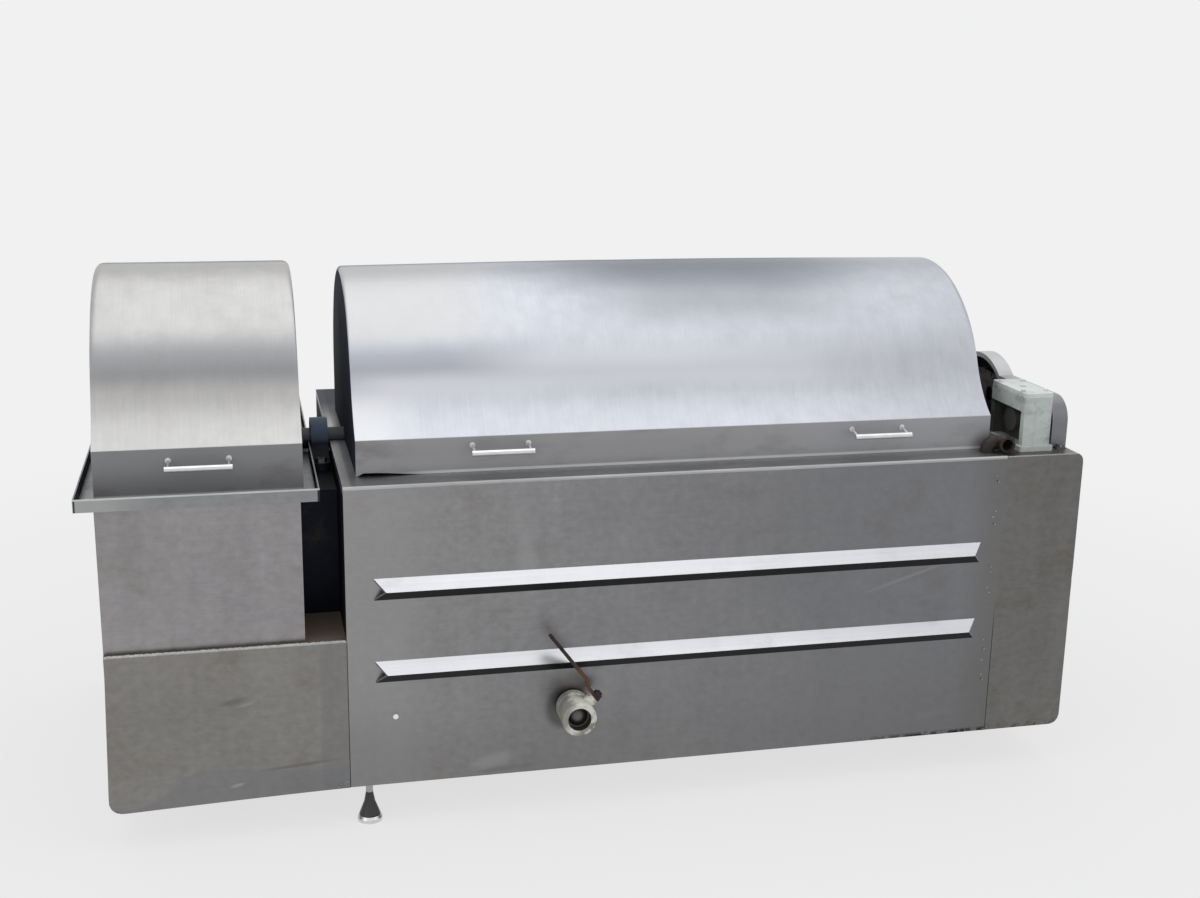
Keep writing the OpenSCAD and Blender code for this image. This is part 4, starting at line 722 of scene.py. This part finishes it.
def smoothing_tree():
    t, v = new_tree("smooth_faces", angle=sharp_fold)
    joined = t.geo("MergeByDistance", {"Geometry": v["given"], "Distance": merge_distance})
    smooth = t.geo("SetShadeSmooth", {"Geometry": joined, "Shade Smooth": True}, domain="FACE")
    sharp = t.geo("InputMeshEdgeAngle") > v["angle"]
    folds = {"Geometry": smooth, "Selection": sharp, "Shade Smooth": False}
    t.node("NodeGroupOutput", {0: t.geo("SetShadeSmooth", folds, domain="EDGE")})
    return t.t


smooth_faces = smoothing_tree()
dressed = set()
for finish, names in finish_of.items():
    for name in names.split():
        parts[name].data.materials.clear()
        parts[name].data.materials.append(looks[finish])
        parts[name].modifiers.new("smooth_faces", "NODES").node_group = smooth_faces
        dressed.add(name)
print("dressed:", len(dressed), "left:", sorted(set(parts) - dressed))

# %% [markdown]
# ## From a node tree to a plain piece
# The machine's repeated and rule-shaped pieces are grown by Geometry Nodes: sizes go in as
# named inputs, and a mesh comes out. Each tree is then turned into plain mesh, so that the
# piece can ride on its CAD body like any other.


# %% Growing pieces
def close_tree(t, geometry, finish):
    """Every tree ends the same way: real mesh, then its finish."""
    real = t.geo("RealizeInstances", {"Geometry": geometry})
    t.node("NodeGroupOutput", {0: t.geo("SetMaterial", {"Geometry": real, "Material": looks[finish]})})
    return t.t


def grow(name, tree, values, body, replaces=(), mesh=None, modifiers=()):
    """Runs a tree on a start mesh with these values, and keeps the result as a plain piece."""
    seed = bpy.data.objects.new(name + "_start", mesh or bpy.data.meshes.new(name + "_start"))
    scene.collection.objects.link(seed)
    nodes = seed.modifiers.new("grow", "NODES")
    nodes.node_group = tree
    for item in tree.interface.items_tree:
        if item.in_out == "INPUT" and item.name in values:
            nodes[item.identifier] = values[item.name]
    for kind, settings in modifiers:
        extra = seed.modifiers.new(kind.lower(), kind)
        for key, value in settings.items():
            setattr(extra, key, value)
    made = bpy.data.meshes.new_from_object(seed.evaluated_get(bpy.context.evaluated_depsgraph_get()))
    bpy.data.objects.remove(seed)
    keep(bpy.data.objects.new(name, made), body, replaces)


def keep(piece, body, replaces):
    """Puts a finished mesh on its body, with smooth faces and sharp folds."""
    scene.collection.objects.link(piece)
    piece.data.name = piece.name
    piece.data.shade_smooth()
    piece.data.set_sharp_from_angle(angle=sharp_fold)
    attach(piece, body)
    if replaces:
        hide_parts(*replaces)
    print(piece.name, len(piece.data.polygons), "faces on", body)


# %% [markdown]
# ## The two hoods
# A hood is one plate rolled into an ogee: an upright lip, a hollow flare, a round crown and a
# back. The shape is a rule of two arcs and their angles, so Geometry Nodes can roll it from a
# flat grid. Each part of the profile runs while its own share of the count is up, and the
# moves are added. Real plate is never true: the middle bows up a little and the faces have
# shallow waves, which is what gives its reflections life.


# %% The hood trees
hood_sizes = ("left", "right", "lip_distance", "base", "fold", "flare_angle", "steepest", "flare_radius",
              "crown_radius", "back_radius", "bow", "wave", "shoulder", "lift")
hood_counts = {"lip": 6, "flare": 16, "crown": 30, "back": 20, "wall": 10}
hood_steps = sum(hood_counts.values())
fold_distance, plate_thickness, play = -0.3795, 0.002, 0.003


def hood_profile(v, count, drawn_in):
    """Distance and height along the ogee, from the lip over the crown to the back wall."""
    share, start = {}, 0
    for name, n in hood_counts.items():
        share[name] = ((count - start) / n).clamp()
        start += n
    base, fold, low, steep = v["base"], v["fold"], v["flare_angle"], v["steepest"]
    flare_r, crown_r, back_r = v["flare_radius"], v["crown_radius"], v["back_radius"]
    t1 = low + (steep - low) * share["flare"]
    t2 = steep * (1 - share["crown"])
    t3 = share["back"] * (math.pi / 2)
    y = v["lip_distance"] + flare_r * (t1.sin() - low.sin()) + crown_r * (steep.sin() - t2.sin())
    rise = flare_r * (low.cos() - t1.cos()) + crown_r * (t2.cos() - steep.cos())
    top = fold + flare_r * (low.cos() - steep.cos()) + crown_r * (1 - steep.cos())
    z = base + (fold - base) * share["lip"] + rise + back_r * (t3.cos() - 1)
    z = z - (top - back_r - base) * share["wall"]
    inward = drawn_in * share["crown"]
    y = y + back_r * t3.sin() - inward * (t3.sin() - t2.sin())
    return y, z - inward * t3.cos() * t2.cos(), share


def hood_tree(finish):
    t, v = new_tree("rolled_hood", **dict.fromkeys(hood_sizes, 0.0), along=60, seed=1.0)
    grid = {"Size X": 1.0, "Size Y": 1.0, "Vertices X": v["along"], "Vertices Y": hood_steps + 1}
    place = t.shade("SeparateXYZ", {0: t.geo("InputPosition")})
    even, count = place + 0.5, (place.out("Y") + 0.5) * hood_steps
    crowding = 0.92 / (2 * math.pi)
    along = even - (even * (2 * math.pi)).sin() * crowding
    length = v["right"] - v["left"]
    from_end = along.math("MINIMUM", along, 1 - along) * length
    inside = 1 - (from_end / (v["shoulder"] + 0.00001)).clamp()
    drawn_in = v["shoulder"] * (1 - inside.math("SQRT", (1 - inside * inside).clamp()))
    y, z, share = hood_profile(v, count, drawn_in)
    span = (along * math.pi).sin()
    warp = along.step(0.0, 0.012) * along.step(0.10, 0.02) * (1 - share["lip"])
    z = z + v["bow"] * span * share["flare"] * (1 - share["back"]) + v["lift"] * warp
    ogee_place = t.xyz(v["left"] + length * along, y, z)
    rolled = t.geo("SetPosition", {"Geometry": t.geo("MeshGrid", grid), "Position": ogee_place})
    shifted = t.shade("VectorMath", {0: t.geo("InputPosition"), 1: t.xyz(v["seed"])}, operation="ADD")
    bumps = t.shade("TexNoise", {"Vector": shifted, "Scale": 3.2, "Detail": 1.0})
    height = (bumps - 0.5) * v["wave"] * ((count / hood_steps * math.pi).sin() * span)
    push = t.shade("VectorMath", {0: t.geo("InputNormal"), "Scale": height}, operation="SCALE")
    return close_tree(t, t.geo("SetPosition", {"Geometry": rolled, "Offset": push}), finish)


def filled_plate(t, curves, low, high):
    """Fills a flat outline, holes and all, and gives it thickness from low to high."""
    filled = t.geo("FillCurve", {"Curve": curves}, mode="TRIANGLES")
    raised = {"Mesh": filled, "Offset Scale": high - low, "Individual": False}
    raised = t.geo("ExtrudeMesh", raised, mode="FACES")
    return t.placed(t.joined([raised, t.geo("FlipFaces", {"Mesh": filled})]), t.xyz(0, 0, low))


def hood_end_tree(finish):
    """The two end plates: the same profile, drawn in under the shoulder, closed and filled."""
    t, v = new_tree("hood_ends", **dict.fromkeys(hood_sizes, 0.0))
    row = t.geo("MeshLine", {"Count": hood_steps + 1})
    y, z = hood_profile(v, t.geo("InputIndex") + 0.0, v["shoulder"])[:2]
    laid = t.geo("SetPosition", {"Geometry": row, "Position": t.xyz(y, z)})
    loop = t.geo("SetSplineCyclic", {"Geometry": t.geo("MeshToCurve", {"Mesh": laid}), "Cyclic": True})
    starts = v["left"] + 0.0005, v["right"] - 0.0025
    ends = [filled_plate(t, loop, start, start + plate_thickness) for start in starts]
    return close_tree(t, t.placed(t.joined(ends), turn=(math.pi / 2, 0, math.pi / 2)), finish)


def ogee(crown_height, crown_radius, steep, back_distance, lip_distance=fold_distance):
    """Sizes of one hood, in metres and radians, from its crown down to the fold."""
    crown_middle, flare_radius = 0.0205, 0.280
    both = crown_radius + flare_radius
    flare_y = crown_middle - both * math.sin(steep)
    flare_z = crown_height - crown_radius + both * math.cos(steep)
    low = math.asin((fold_distance - flare_y) / flare_radius)
    return {
        "lip_distance": lip_distance, "fold": flare_z - flare_radius * math.cos(low), "flare_angle": low,
        "steepest": steep, "flare_radius": flare_radius, "crown_radius": crown_radius,
        "back_radius": back_distance - crown_middle,
    }


# %% Rolling both hoods
crown_radius = 0.335
wash_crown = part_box("wash_hood")[1].z
for name, finish, along, bow, shoulder, lift, seed in (
    ("wash_hood", "hood_steel", 90, 0.006, 0.010, 0.007, 1.0),
    ("rinse_hood", "rinse_hood_steel", 40, 0.0, 0.018, 0.0, 5.0),
):
    low_corner, high_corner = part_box(name)
    steepest = math.radians(68 + (high_corner.z - wash_crown) * 143)
    ends = {"left": low_corner.x, "right": high_corner.x, "base": low_corner.z, "shoulder": shoulder}
    sizes = ogee(high_corner.z - 0.001, crown_radius, steepest, high_corner.y) | ends
    sizes |= {"bow": bow, "wave": 0.005, "lift": lift, "along": along, "seed": seed}
    grow(name + "_skin", hood_tree(finish), sizes, name + "_body", [name],
         modifiers=[("SOLIDIFY", {"thickness": plate_thickness, "offset": -1.0})])
    inner = ogee(high_corner.z - play, crown_radius - play, steepest, high_corner.y - play,
                 fold_distance + play)
    grow(name + "_end_plates", hood_end_tree("end_steel"), inner | ends, name + "_body",
         [name + "_ends"])
    print(name, "fold at", round(sizes["fold"], 4))

# %% [markdown]
# ## Plates that have been knocked
# The base box and the drive housing stand where trolleys and buckets pass. Their CAD shape is
# true, so a copy of the mesh is merged and cut into a fine grid, and then pushed: a sagging
# corner, a crease over the floor, and a few dents. Cutting with planes keeps every hole and
# fold of the original, which laying a new grid over it would not.


# %% Cutting and pushing
def gridded_copy(name, step):
    """A merged copy of a CAD piece, cut by planes every step metres along X and Z."""
    work = bmesh.new()
    work.from_mesh(parts[name].data)
    bmesh.ops.remove_doubles(work, verts=work.verts, dist=merge_distance)
    bmesh.ops.dissolve_limit(work, angle_limit=math.radians(1), verts=work.verts, edges=work.edges)
    low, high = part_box(name)
    for axis in (0, 2):
        count = max(1, round((high[axis] - low[axis]) / step))
        for i in range(1, count):
            at, normal = Vector(), Vector()
            at[axis], normal[axis] = low[axis] + (high[axis] - low[axis]) * i / count, 1.0
            everything = [*work.verts, *work.edges, *work.faces]
            bmesh.ops.bisect_plane(work, geom=everything, plane_co=at, plane_no=normal)
    return work


def hollow(x, z, at, reach, depth, lean=0.0):
    """How deep a round or leaning dent is at a point of the plate."""
    dx, dz = x - at[0], z - at[1]
    dx, dz = dx * math.cos(lean) + dz * math.sin(lean), dz * math.cos(lean) - dx * math.sin(lean)
    return depth * math.exp(-((dx / reach[0]) ** 2) - (dz / reach[1]) ** 2)


def rounded(p, x, z, radius, sides):
    """Draws an outer corner of a box, at x and z, in to a rounder one. sides says which way it points."""
    dx, dz = (p.x - x) * sides[0] + radius, (p.z - z) * sides[1] + radius
    far = math.hypot(dx, dz)
    if dx <= 0 or dz <= 0 or far <= radius:
        return Vector()
    pull = radius / far - 1
    return Vector((dx * sides[0] * pull, 0, dz * sides[1] * pull))


def knocked_piece(name, finish, push):
    work = gridded_copy(name, 0.012)
    for v in work.verts:
        v.co = push(v.co)
    bmesh.ops.triangulate(work, faces=[f for f in work.faces if len(f.verts) > 4])
    mesh = bpy.data.meshes.new(name + "_worn")
    work.to_mesh(mesh)
    work.free()
    mesh.materials.append(looks[finish])
    keep(bpy.data.objects.new(name + "_worn", mesh), "machine", [name])


# %% Base box and drive housing
base_low, base_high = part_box("base_box")
house_low, house_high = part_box("drive_housing")
skin = 0.004


def push_base(p):
    """The outer corner has dropped, and a long crease runs above the lower edge."""
    p = p + rounded(p, base_low.x, base_low.z, 0.030, (-1, -1))
    left = max(0.0, 1 - (p.x - base_low.x) / (base_high.x - base_low.x))
    down = max(0.0, 1 - (p.z - base_low.z) / 0.30)
    sag = Vector((-0.009 * left**3 * down, 0, -0.015 * left**1.3 * down**0.8))
    if p.y > base_low.y + skin:
        return p + sag
    crease = base_low.z + 0.052 + 0.012 * left
    fold = -0.0016 if p.z < crease else 0.0
    skew = hollow(p.x, p.z, (base_low.x + 0.14, base_low.z + 0.105), (0.12, 0.016), 0.003, math.radians(38))
    knock = hollow(p.x, p.z, (base_low.x + 0.27, base_high.z - 0.15), (0.05, 0.012), 0.002, math.radians(8))
    small = hollow(p.x, p.z, (base_low.x + 0.205, base_high.z - 0.215), (0.010, 0.008), 0.004)
    return p + sag + Vector((0, fold + skew + knock + small, 0))


def push_house(p):
    p = p + rounded(p, house_high.x, house_low.z, 0.026, (1, -1))
    p = p + rounded(p, house_high.x, house_high.z, 0.022, (1, 1))
    if p.y > house_low.y + skin:
        return p
    dent = hollow(p.x, p.z, (house_low.x + 0.14, house_low.z + 0.395), (0.09, 0.009), 0.002, math.radians(-6))
    wave = hollow(p.x, p.z, (house_low.x + 0.08, house_low.z + 0.33), (0.12, 0.05), 0.0018)
    return p + Vector((0, dent + wave, 0))


knocked_piece("base_box", "base_steel", push_base)
knocked_piece("drive_housing", "housing_steel", push_house)

# %% [markdown]
# ## Weld beads
# The plates are joined by short runs of weld that nobody ground flat. A bead is a row of
# overlapping drops, each a little out of line and of its own size. Geometry Nodes set one drop
# at every point of a line, and the fixed seed keeps the same hand in every run.


# %% The weld tree
def weld_tree(finish):
    t, v = new_tree("weld_run", start=(0, 0, 0), stop=(1, 0, 0), pitch=0.005, drop=0.003,
                    stray=0.0005, gaps=0.3, seed=1)
    line = t.line(v["start"], v["stop"])
    dots = t.geo("CurveToPoints", {"Curve": line, "Length": v["pitch"]}, mode="LENGTH")
    any_way = {0: (-1, -1, -1), 1: (1, 1, 1), "Seed": v["seed"]}
    stray = t.node("FunctionNodeRandomValue", any_way, data_type="FLOAT_VECTOR")
    stray = t.shade("VectorMath", {0: stray, "Scale": v["stray"]}, operation="SCALE")
    moved = t.geo("SetPosition", {"Geometry": dots, "Offset": stray})
    runs = t.shade("TexNoise", {"Vector": t.geo("InputPosition"), "Scale": 14.0, "Detail": 1.0})
    weld = t.geo("DeleteGeometry", {"Geometry": moved, "Selection": v["gaps"] > runs}, domain="POINT")
    drop = t.geo("MeshUVSphere", {"Segments": 7, "Rings": 5, "Radius": v["drop"]})
    size = t.node("FunctionNodeRandomValue", {2: 0.6, 3: 1.15, "Seed": 7}, data_type="FLOAT")
    return close_tree(t, t.copies(weld, drop, Scale=size), finish)


welds, spots = weld_tree("weld_metal"), weld_tree("spot_metal")
front = base_low.y - 0.0004
base_top, seam_x, house_top = base_high.z + 0.0006, house_low.x - 0.022, house_high.z - 0.0016
for seed, (name, tree, start, stop, pitch, drop, stray, gaps) in enumerate((
    ("base_top_weld", welds, (base_low.x + 0.004, front, base_top), (base_high.x - 0.004, front, base_top),
     0.0035, 0.0030, 0.0007, 0.34),
    ("seam_spots", spots, (seam_x, front + 0.001, 0.22), (seam_x, front + 0.001, 0.76),
     0.017, 0.0022, 0.0035, 0.42),
    ("house_top_weld", welds, (house_low.x + 0.004, front, house_top),
     (house_high.x - 0.02, front, house_top), 0.004, 0.0014, 0.0004, 0.40),
    ("base_foot_spots", spots, (base_high.x - 0.025, front, 0.112), (base_high.x - 0.004, front, 0.118),
     0.007, 0.0030, 0.003, 0.30),
)):
    values = {"start": start, "stop": stop, "pitch": pitch, "drop": drop, "stray": stray, "gaps": gaps}
    grow(name, tree, values | {"seed": seed}, "machine")

# %% [markdown]
# ## Turned rings, bar handles and bell feet
# The valve is a stack of turned rings: a collar against the tank, a shell round the ball and
# a thin end ring. A ring is two circles, filled between and thickened, with its edges eased by
# a bevel. The handles are drawn bar on two sloping posts, and each foot is a bell on a stud.


# %% Rings, handles and bells
def ring_tree(finish):
    t, v = new_tree("turned_ring", outer=0.04, bore=0.02, start=0.0, stop=0.02,
                    centre=(0, 0, 0), turn=(0, 0, 0))
    circles = [t.circle(v["outer"], 48), t.circle(v["bore"], 48)]
    flat = filled_plate(t, t.joined(circles), v["start"], v["stop"])
    return close_tree(t, t.placed(flat, v["centre"], v["turn"]), finish)


def handle_tree(finish):
    t, v = new_tree("bar_handle", middle=(0, 0, 0), length=0.14, reach=0.042, drop=0.009,
                    bar=0.0065, post=0.0034, inset=0.007)

    def rod(start, stop, radius, sides):
        inputs = {"Curve": t.line(start, stop), "Profile Curve": t.circle(radius, sides), "Fill Caps": True}
        return t.geo("CurveToMesh", inputs)

    half, out, down = v["length"] * 0.5, v["reach"] * -1, v["drop"] * -1
    pieces = [rod(t.xyz(half * -1, out, down), t.xyz(half, out, down), v["bar"], 16)]
    for side in (-1, 1):
        x = (half - v["inset"]) * side
        pieces.append(rod(t.xyz(x), t.xyz(x, out, down), v["post"], 10))
        pieces.append(rod(t.xyz(x, 0.001), t.xyz(x, -0.0022), v["post"] * 1.9, 14))
    return close_tree(t, t.placed(t.joined(pieces), v["middle"]), finish)


def bell_tree(finish):
    """A bell on every point of the start mesh."""
    t, v = new_tree("foot_bell", mouth=0.024, waist=0.0125, neck=0.008)
    cones = []
    for low, high, wide, narrow in ((0.016, 0.046, "mouth", "waist"), (0.046, 0.070, "waist", "neck")):
        cone = {"Vertices": 24, "Radius Top": v[narrow], "Radius Bottom": v[wide], "Depth": high - low}
        cones.append(t.placed(t.geo("MeshCone", cone), (0, 0, low)))
    feet = t.copies(t.geo("MeshToPoints", {"Mesh": v["given"]}), t.joined(cones))
    return close_tree(t, feet, finish)


ring = ring_tree("valve_cast")
eased = [("BEVEL", {"width": 0.0022, "segments": 3, "limit_method": "ANGLE"})]
outward, upward = (math.pi / 2, 0, 0), (0, math.radians(53), 0)
panel_face = Vector((ball.x, -0.4595, ball.z))
for name, outer, bore, start, stop, centre, turn, old in (
    ("valve_collar", 0.0385, 0.0302, 0.006, 0.024, panel_face, outward, "valve_body"),
    ("valve_shell", 0.0350, 0.0320, 0.022, 0.062, panel_face, outward, "valve_body"),
    ("valve_neck", 0.0140, 0.0072, 0.028, 0.046, ball, upward, "valve_body"),
    ("valve_mouth", 0.0395, 0.0262, 0.060, 0.088, panel_face, outward, "valve_end_ring"),
):
    values = {"outer": outer, "bore": bore, "start": start, "stop": stop, "centre": centre, "turn": turn}
    grow(name, ring, values, "machine", [old], modifiers=eased)

bar_handle = handle_tree("handle_steel")
for hood, old, inset in (("wash_hood", "wash_handles", 0.070), ("rinse_hood", "rinse_handle", None)):
    low_corner, high_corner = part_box(old)
    left, right = low_corner.x, high_corner.x
    for number, x in enumerate([left + inset, right - inset] if inset else [(left + right) / 2]):
        middle = (x, high_corner.y, low_corner.z + 0.015)
        grow(f"{hood}_pull_{number}", bar_handle, {"middle": middle}, hood + "_body", [old])

pads = {}
for v in parts["foot_pads"].data.vertices:
    pads.setdefault((round(v.co.x * 2), round(v.co.y * 2)), []).append(v.co)
middles = []
for corners in pads.values():
    spread = [[c[axis] for c in corners] for axis in (0, 1)]
    middles.append([min(s) / 2 + max(s) / 2 for s in spread] + [0])
points = bpy.data.meshes.new("foot_points")
points.from_pydata(middles, [], [])
grow("foot_bells_turned", bell_tree("foot_rubber"), {}, "machine", ["foot_bells"], points)
print("feet:", len(middles))

# %% [markdown]
# ## Roller chain
# A roller chain runs straight between the sprockets and bends round each of them. Where link
# number i sits is a rule: two straight runs and two arcs, each moved along while its own share
# of the count is up. Geometry Nodes work the rule out twice, for a pin and for the next pin, so
# every link knows where it starts and which way it points. Narrow and wide links take turns.


# %% The chain tree
def chain_tree(finish):
    t, v = new_tree("roller_chain", links=72, pitch=0.0159, drum_radius=0.111, pinion_radius=0.036,
                    straight=20.0, bent=5.9, strand=0.2, lean=0.18, axis=(0, 0, 0), apart=0.33)
    turn, pitch, straight, bent, lean = (v[n] for n in ("strand", "pitch", "straight", "bent", "lean"))
    drum_r, pinion_r = v["drum_radius"], v["pinion_radius"]

    def pin(number):
        """Where the pin with that number sits, seen along the drum shaft."""
        top = (number / straight).clamp()
        front = ((number - straight) / bent).clamp()
        low = ((number - straight - bent) / straight).clamp()
        rest = number - straight * 2 - bent
        back = rest.clamp(0, 999) * pitch / drum_r
        start = math.pi / 2 + turn
        a = start + front * bent * pitch / pinion_r
        b = math.pi * 1.5 - turn + back
        run = straight * pitch
        u1 = drum_r * start.cos() - run * top * turn.cos()
        v1 = drum_r * start.sin() - run * top * turn.sin()
        u2 = pinion_r * a.cos() - v["apart"] + run * low * turn.cos()
        v2 = pinion_r * a.sin() - run * low * turn.sin()
        on_drum = rest > 0.0
        early = 1 - (number > straight)
        middle = (1 - early) * (1 - on_drum)
        u = u1 * early + u2 * middle + drum_r * b.cos() * on_drum
        w = v1 * early + v2 * middle + drum_r * b.sin() * on_drum
        return u * lean.cos() + w * lean.sin(), w * lean.cos() - u * lean.sin()

    def disc(sides, radius, depth, x, y):
        cylinder = t.geo("MeshCylinder", {"Vertices": sides, "Radius": radius, "Depth": depth})
        return t.placed(cylinder, t.xyz(x, y), (0, math.pi / 2, 0))

    def link(half, roller):
        """Two flat plates with round ends, and a pin through each end."""
        end_radius, plate_depth, beyond = 0.0068, 0.0018, 0.003
        pieces = []
        for side in (-1, 1):
            x = half * side
            pieces += [disc(12, end_radius, plate_depth, x, pitch * end) for end in (0, 1)]
            waist = t.geo("MeshCube", {"Size": (0.0016, 0.0159, 0.0104)})
            pieces.append(t.placed(waist, t.xyz(x, pitch * 0.5)))
        return t.joined(pieces + [disc(10, roller, half * 2 + beyond, 0.0, pitch * end) for end in (0, 1)])

    number = t.geo("InputIndex")
    (y0, z0), (y1, z1) = pin(number), pin(number.math("MODULO", number + 1, v["links"]))
    at = t.shade("VectorMath", {0: t.xyz(0, y0, z0), 1: v["axis"]}, operation="ADD")
    pins = t.geo("Points", {0: v["links"], 1: at})
    aim = t.node("FunctionNodeAlignRotationToVector", {"Vector": t.xyz(0, y1 - y0, z1 - z0)}, axis="Y")
    odd = number.math("MODULO", number, 2.0)
    wide, narrow = link(0.0078, 0.0023), link(0.0058, 0.0049)
    both = [t.copies(pins, wide, Rotation=aim, Selection=odd > 0.5),
            t.copies(pins, narrow, Rotation=aim, Selection=odd < 0.5)]
    return close_tree(t, t.joined(both), finish)


# %% [markdown]
# ## Sprockets
# A sprocket is a flat wheel whose rim dips to take each roller. Its outline is one rule of the
# angle, the tooth count and the roller; filled, thickened and given a hub, it makes both wheels
# of the chain drive.


# %% The toothed wheel tree
def wheel_tree(finish):
    t, v = new_tree("toothed_wheel", teeth=44, pitch_radius=0.1, turn=0.0, web_hole=0.0,
                    hub_radius=0.03, hub_start=-0.015, hub_end=0.014, bore=0.025, centre=(0, 0, 0))
    roller, tip, thickness = 0.005, 0.0045, 0.0085
    share = t.geo("SplineParameter", out="Index") / 10.0
    lap = share.math("FRACT", share + 0.5)
    away = share.math("ABSOLUTE", lap - 0.5)
    reach = v["pitch_radius"] - roller + away.step(0.16, 0.42) * (roller + tip)
    angle = share * (2 * math.pi) / v["teeth"] + v["turn"]
    place = t.xyz(reach * angle.cos(), reach * angle.sin())
    outline = t.geo("SetPosition", {"Geometry": t.circle(1.0, v["teeth"] * 10), "Position": place})
    circle = t.circle(v["pitch_radius"] * 0.58, 6)
    six = t.geo("CurveToPoints", {"Curve": circle, "Count": 6}, mode="COUNT")
    holes = t.copies(six, t.circle(v["web_hole"], 20), Selection=v["web_hole"] > 0.001)
    flat = t.joined([outline, t.circle(v["bore"]), t.geo("RealizeInstances", {"Geometry": holes})])
    disc = filled_plate(t, flat, thickness * -0.5, thickness * 0.5)
    hub = t.joined([t.circle(v["hub_radius"]), t.circle(v["bore"])])
    hub = filled_plate(t, hub, v["hub_start"], v["hub_end"])
    wheel = t.placed(t.joined([disc, hub]), v["centre"], (math.pi / 2, 0, math.pi / 2))
    return close_tree(t, wheel, finish)


# %% Chain and sprockets
pitch, drum_teeth, pinion_teeth, links = 0.015875, 44, 14, 72


def middle_of(name):
    low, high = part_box(name)
    return (low + high) / 2


drum_ring = pitch / 2 / math.sin(math.pi / drum_teeth)
pinion_ring = pitch / 2 / math.sin(math.pi / pinion_teeth)
drum_axis, pinion_axis = middle_of("drum_sprocket"), middle_of("drive_pinion")
drum_axis.x = pinion_axis.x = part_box("drum_sprocket")[0].x + 0.015
apart = (pinion_axis - drum_axis).length
lean = math.asin((pinion_axis.z - drum_axis.z) / apart)
strand = math.asin((drum_ring - pinion_ring) / apart)
straight = math.sqrt(apart**2 - (drum_ring - pinion_ring) ** 2) / pitch
first_seat = math.pi / 2 + strand - lean
step_on = (math.ceil(straight) - straight) * 2 * math.pi / pinion_teeth
grow("roller_chain", chain_tree("chain_iron"), {
    "links": links, "pitch": pitch, "drum_radius": drum_ring, "pinion_radius": pinion_ring,
    "straight": straight, "bent": (math.pi - 2 * strand) * pinion_teeth / (2 * math.pi),
    "strand": strand, "lean": lean, "axis": drum_axis, "apart": apart,
}, "machine", ["drive_chain"])
wheels = wheel_tree("chain_iron")
grow("drum_wheel", wheels, {
    "teeth": drum_teeth, "pitch_radius": drum_ring, "turn": first_seat, "web_hole": drum_ring * 0.17,
    "hub_radius": 0.042, "hub_start": -0.015, "hub_end": 0.014, "bore": 0.0252, "centre": drum_axis,
}, "drum", ["drum_sprocket"])
grow("pinion_wheel", wheels, {
    "teeth": pinion_teeth, "pitch_radius": pinion_ring, "turn": first_seat + step_on, "web_hole": 0.0,
    "hub_radius": 0.0215, "hub_start": -0.016, "hub_end": 0.008, "bore": 0.0126, "centre": pinion_axis,
}, "pinion", ["drive_pinion"])
print("centres", round(apart, 4), "m apart; straight run", round(straight, 2), "links")

# %% [markdown]
# ## Floor and light
# A plain pale floor, one broad softbox overhead and two fills. Lens rays and mirror rays see a
# white room, and the floor keeps the machine's shadow.


# %% Floor, room and lamps
def seen_rays(t):
    """1 for rays from the lens, from mirrors and through glass."""
    path = t.shade("LightPath", out="Is Camera Ray")
    return (path + path.out("Is Glossy Ray") + path.out("Is Transmission Ray")).clamp()


room_white = rgb(0.88, 0.88, 0.885)


def lit_room():
    world = bpy.data.worlds.new("room")
    world.use_nodes = True
    scene.world = world
    t = Tree(world.node_tree)
    t.t.nodes.clear()
    soft_light = t.shade("Background", {"Color": rgb(1), "Strength": 0.6})
    white = t.shade("Background", {"Color": room_white, "Strength": 1.0})
    both = t.shade("MixShader", {0: seen_rays(t), 1: soft_light, 2: white})
    t.shade("OutputWorld", {"Surface": both})


def floor():
    mesh = bpy.data.meshes.new("floor")
    mesh.from_pydata([(-30, -30, 0), (30, -30, 0), (30, 30, 0), (-30, 30, 0)], [], [(0, 1, 2, 3)])
    sheet = bpy.data.objects.new("floor", mesh)
    scene.collection.objects.link(sheet)
    f = Finish("floor_white")
    far = f.from_axis(f.x, f.y).step(1.6, 3.6)
    matt = f.shade("BsdfDiffuse", {"Color": rgb(0.80, 0.80, 0.805)})
    glow = f.shade("Emission", {"Color": room_white, "Strength": 1.0})
    both = f.shade("MixShader", {0: seen_rays(f) * (0.8 + far * 0.2), 1: matt, 2: glow})
    f.shade("OutputMaterial", {"Surface": both})
    mesh.materials.append(f.material)


def softbox(name, place, target, size, power, colour=(1, 1, 1)):
    lamp = bpy.data.lights.new(name, "AREA")
    lamp.shape = "RECTANGLE"
    lamp.size, lamp.size_y = size
    lamp.energy = power
    lamp.color = colour
    holder = bpy.data.objects.new(name, lamp)
    aim = (Vector(target) - Vector(place)).to_track_quat("-Z", "Y")
    holder.matrix_world = Matrix.Translation(place) @ aim.to_matrix().to_4x4()
    scene.collection.objects.link(holder)


lit_room()
floor()
softbox("overhead", (0, -0.2, 4.2), (0, -0.2, 0.8), (5.0, 5.6), 74, (0.97, 0.985, 1.0))
softbox("left_fill", (-4.2, -2.6, 2.6), (-0.5, 0, 0.8), (2.2, 2.2), 18)
softbox("right_fill", (4.0, -2.8, 2.6), (0.6, 0, 0.8), (2.0, 2.0), 9)
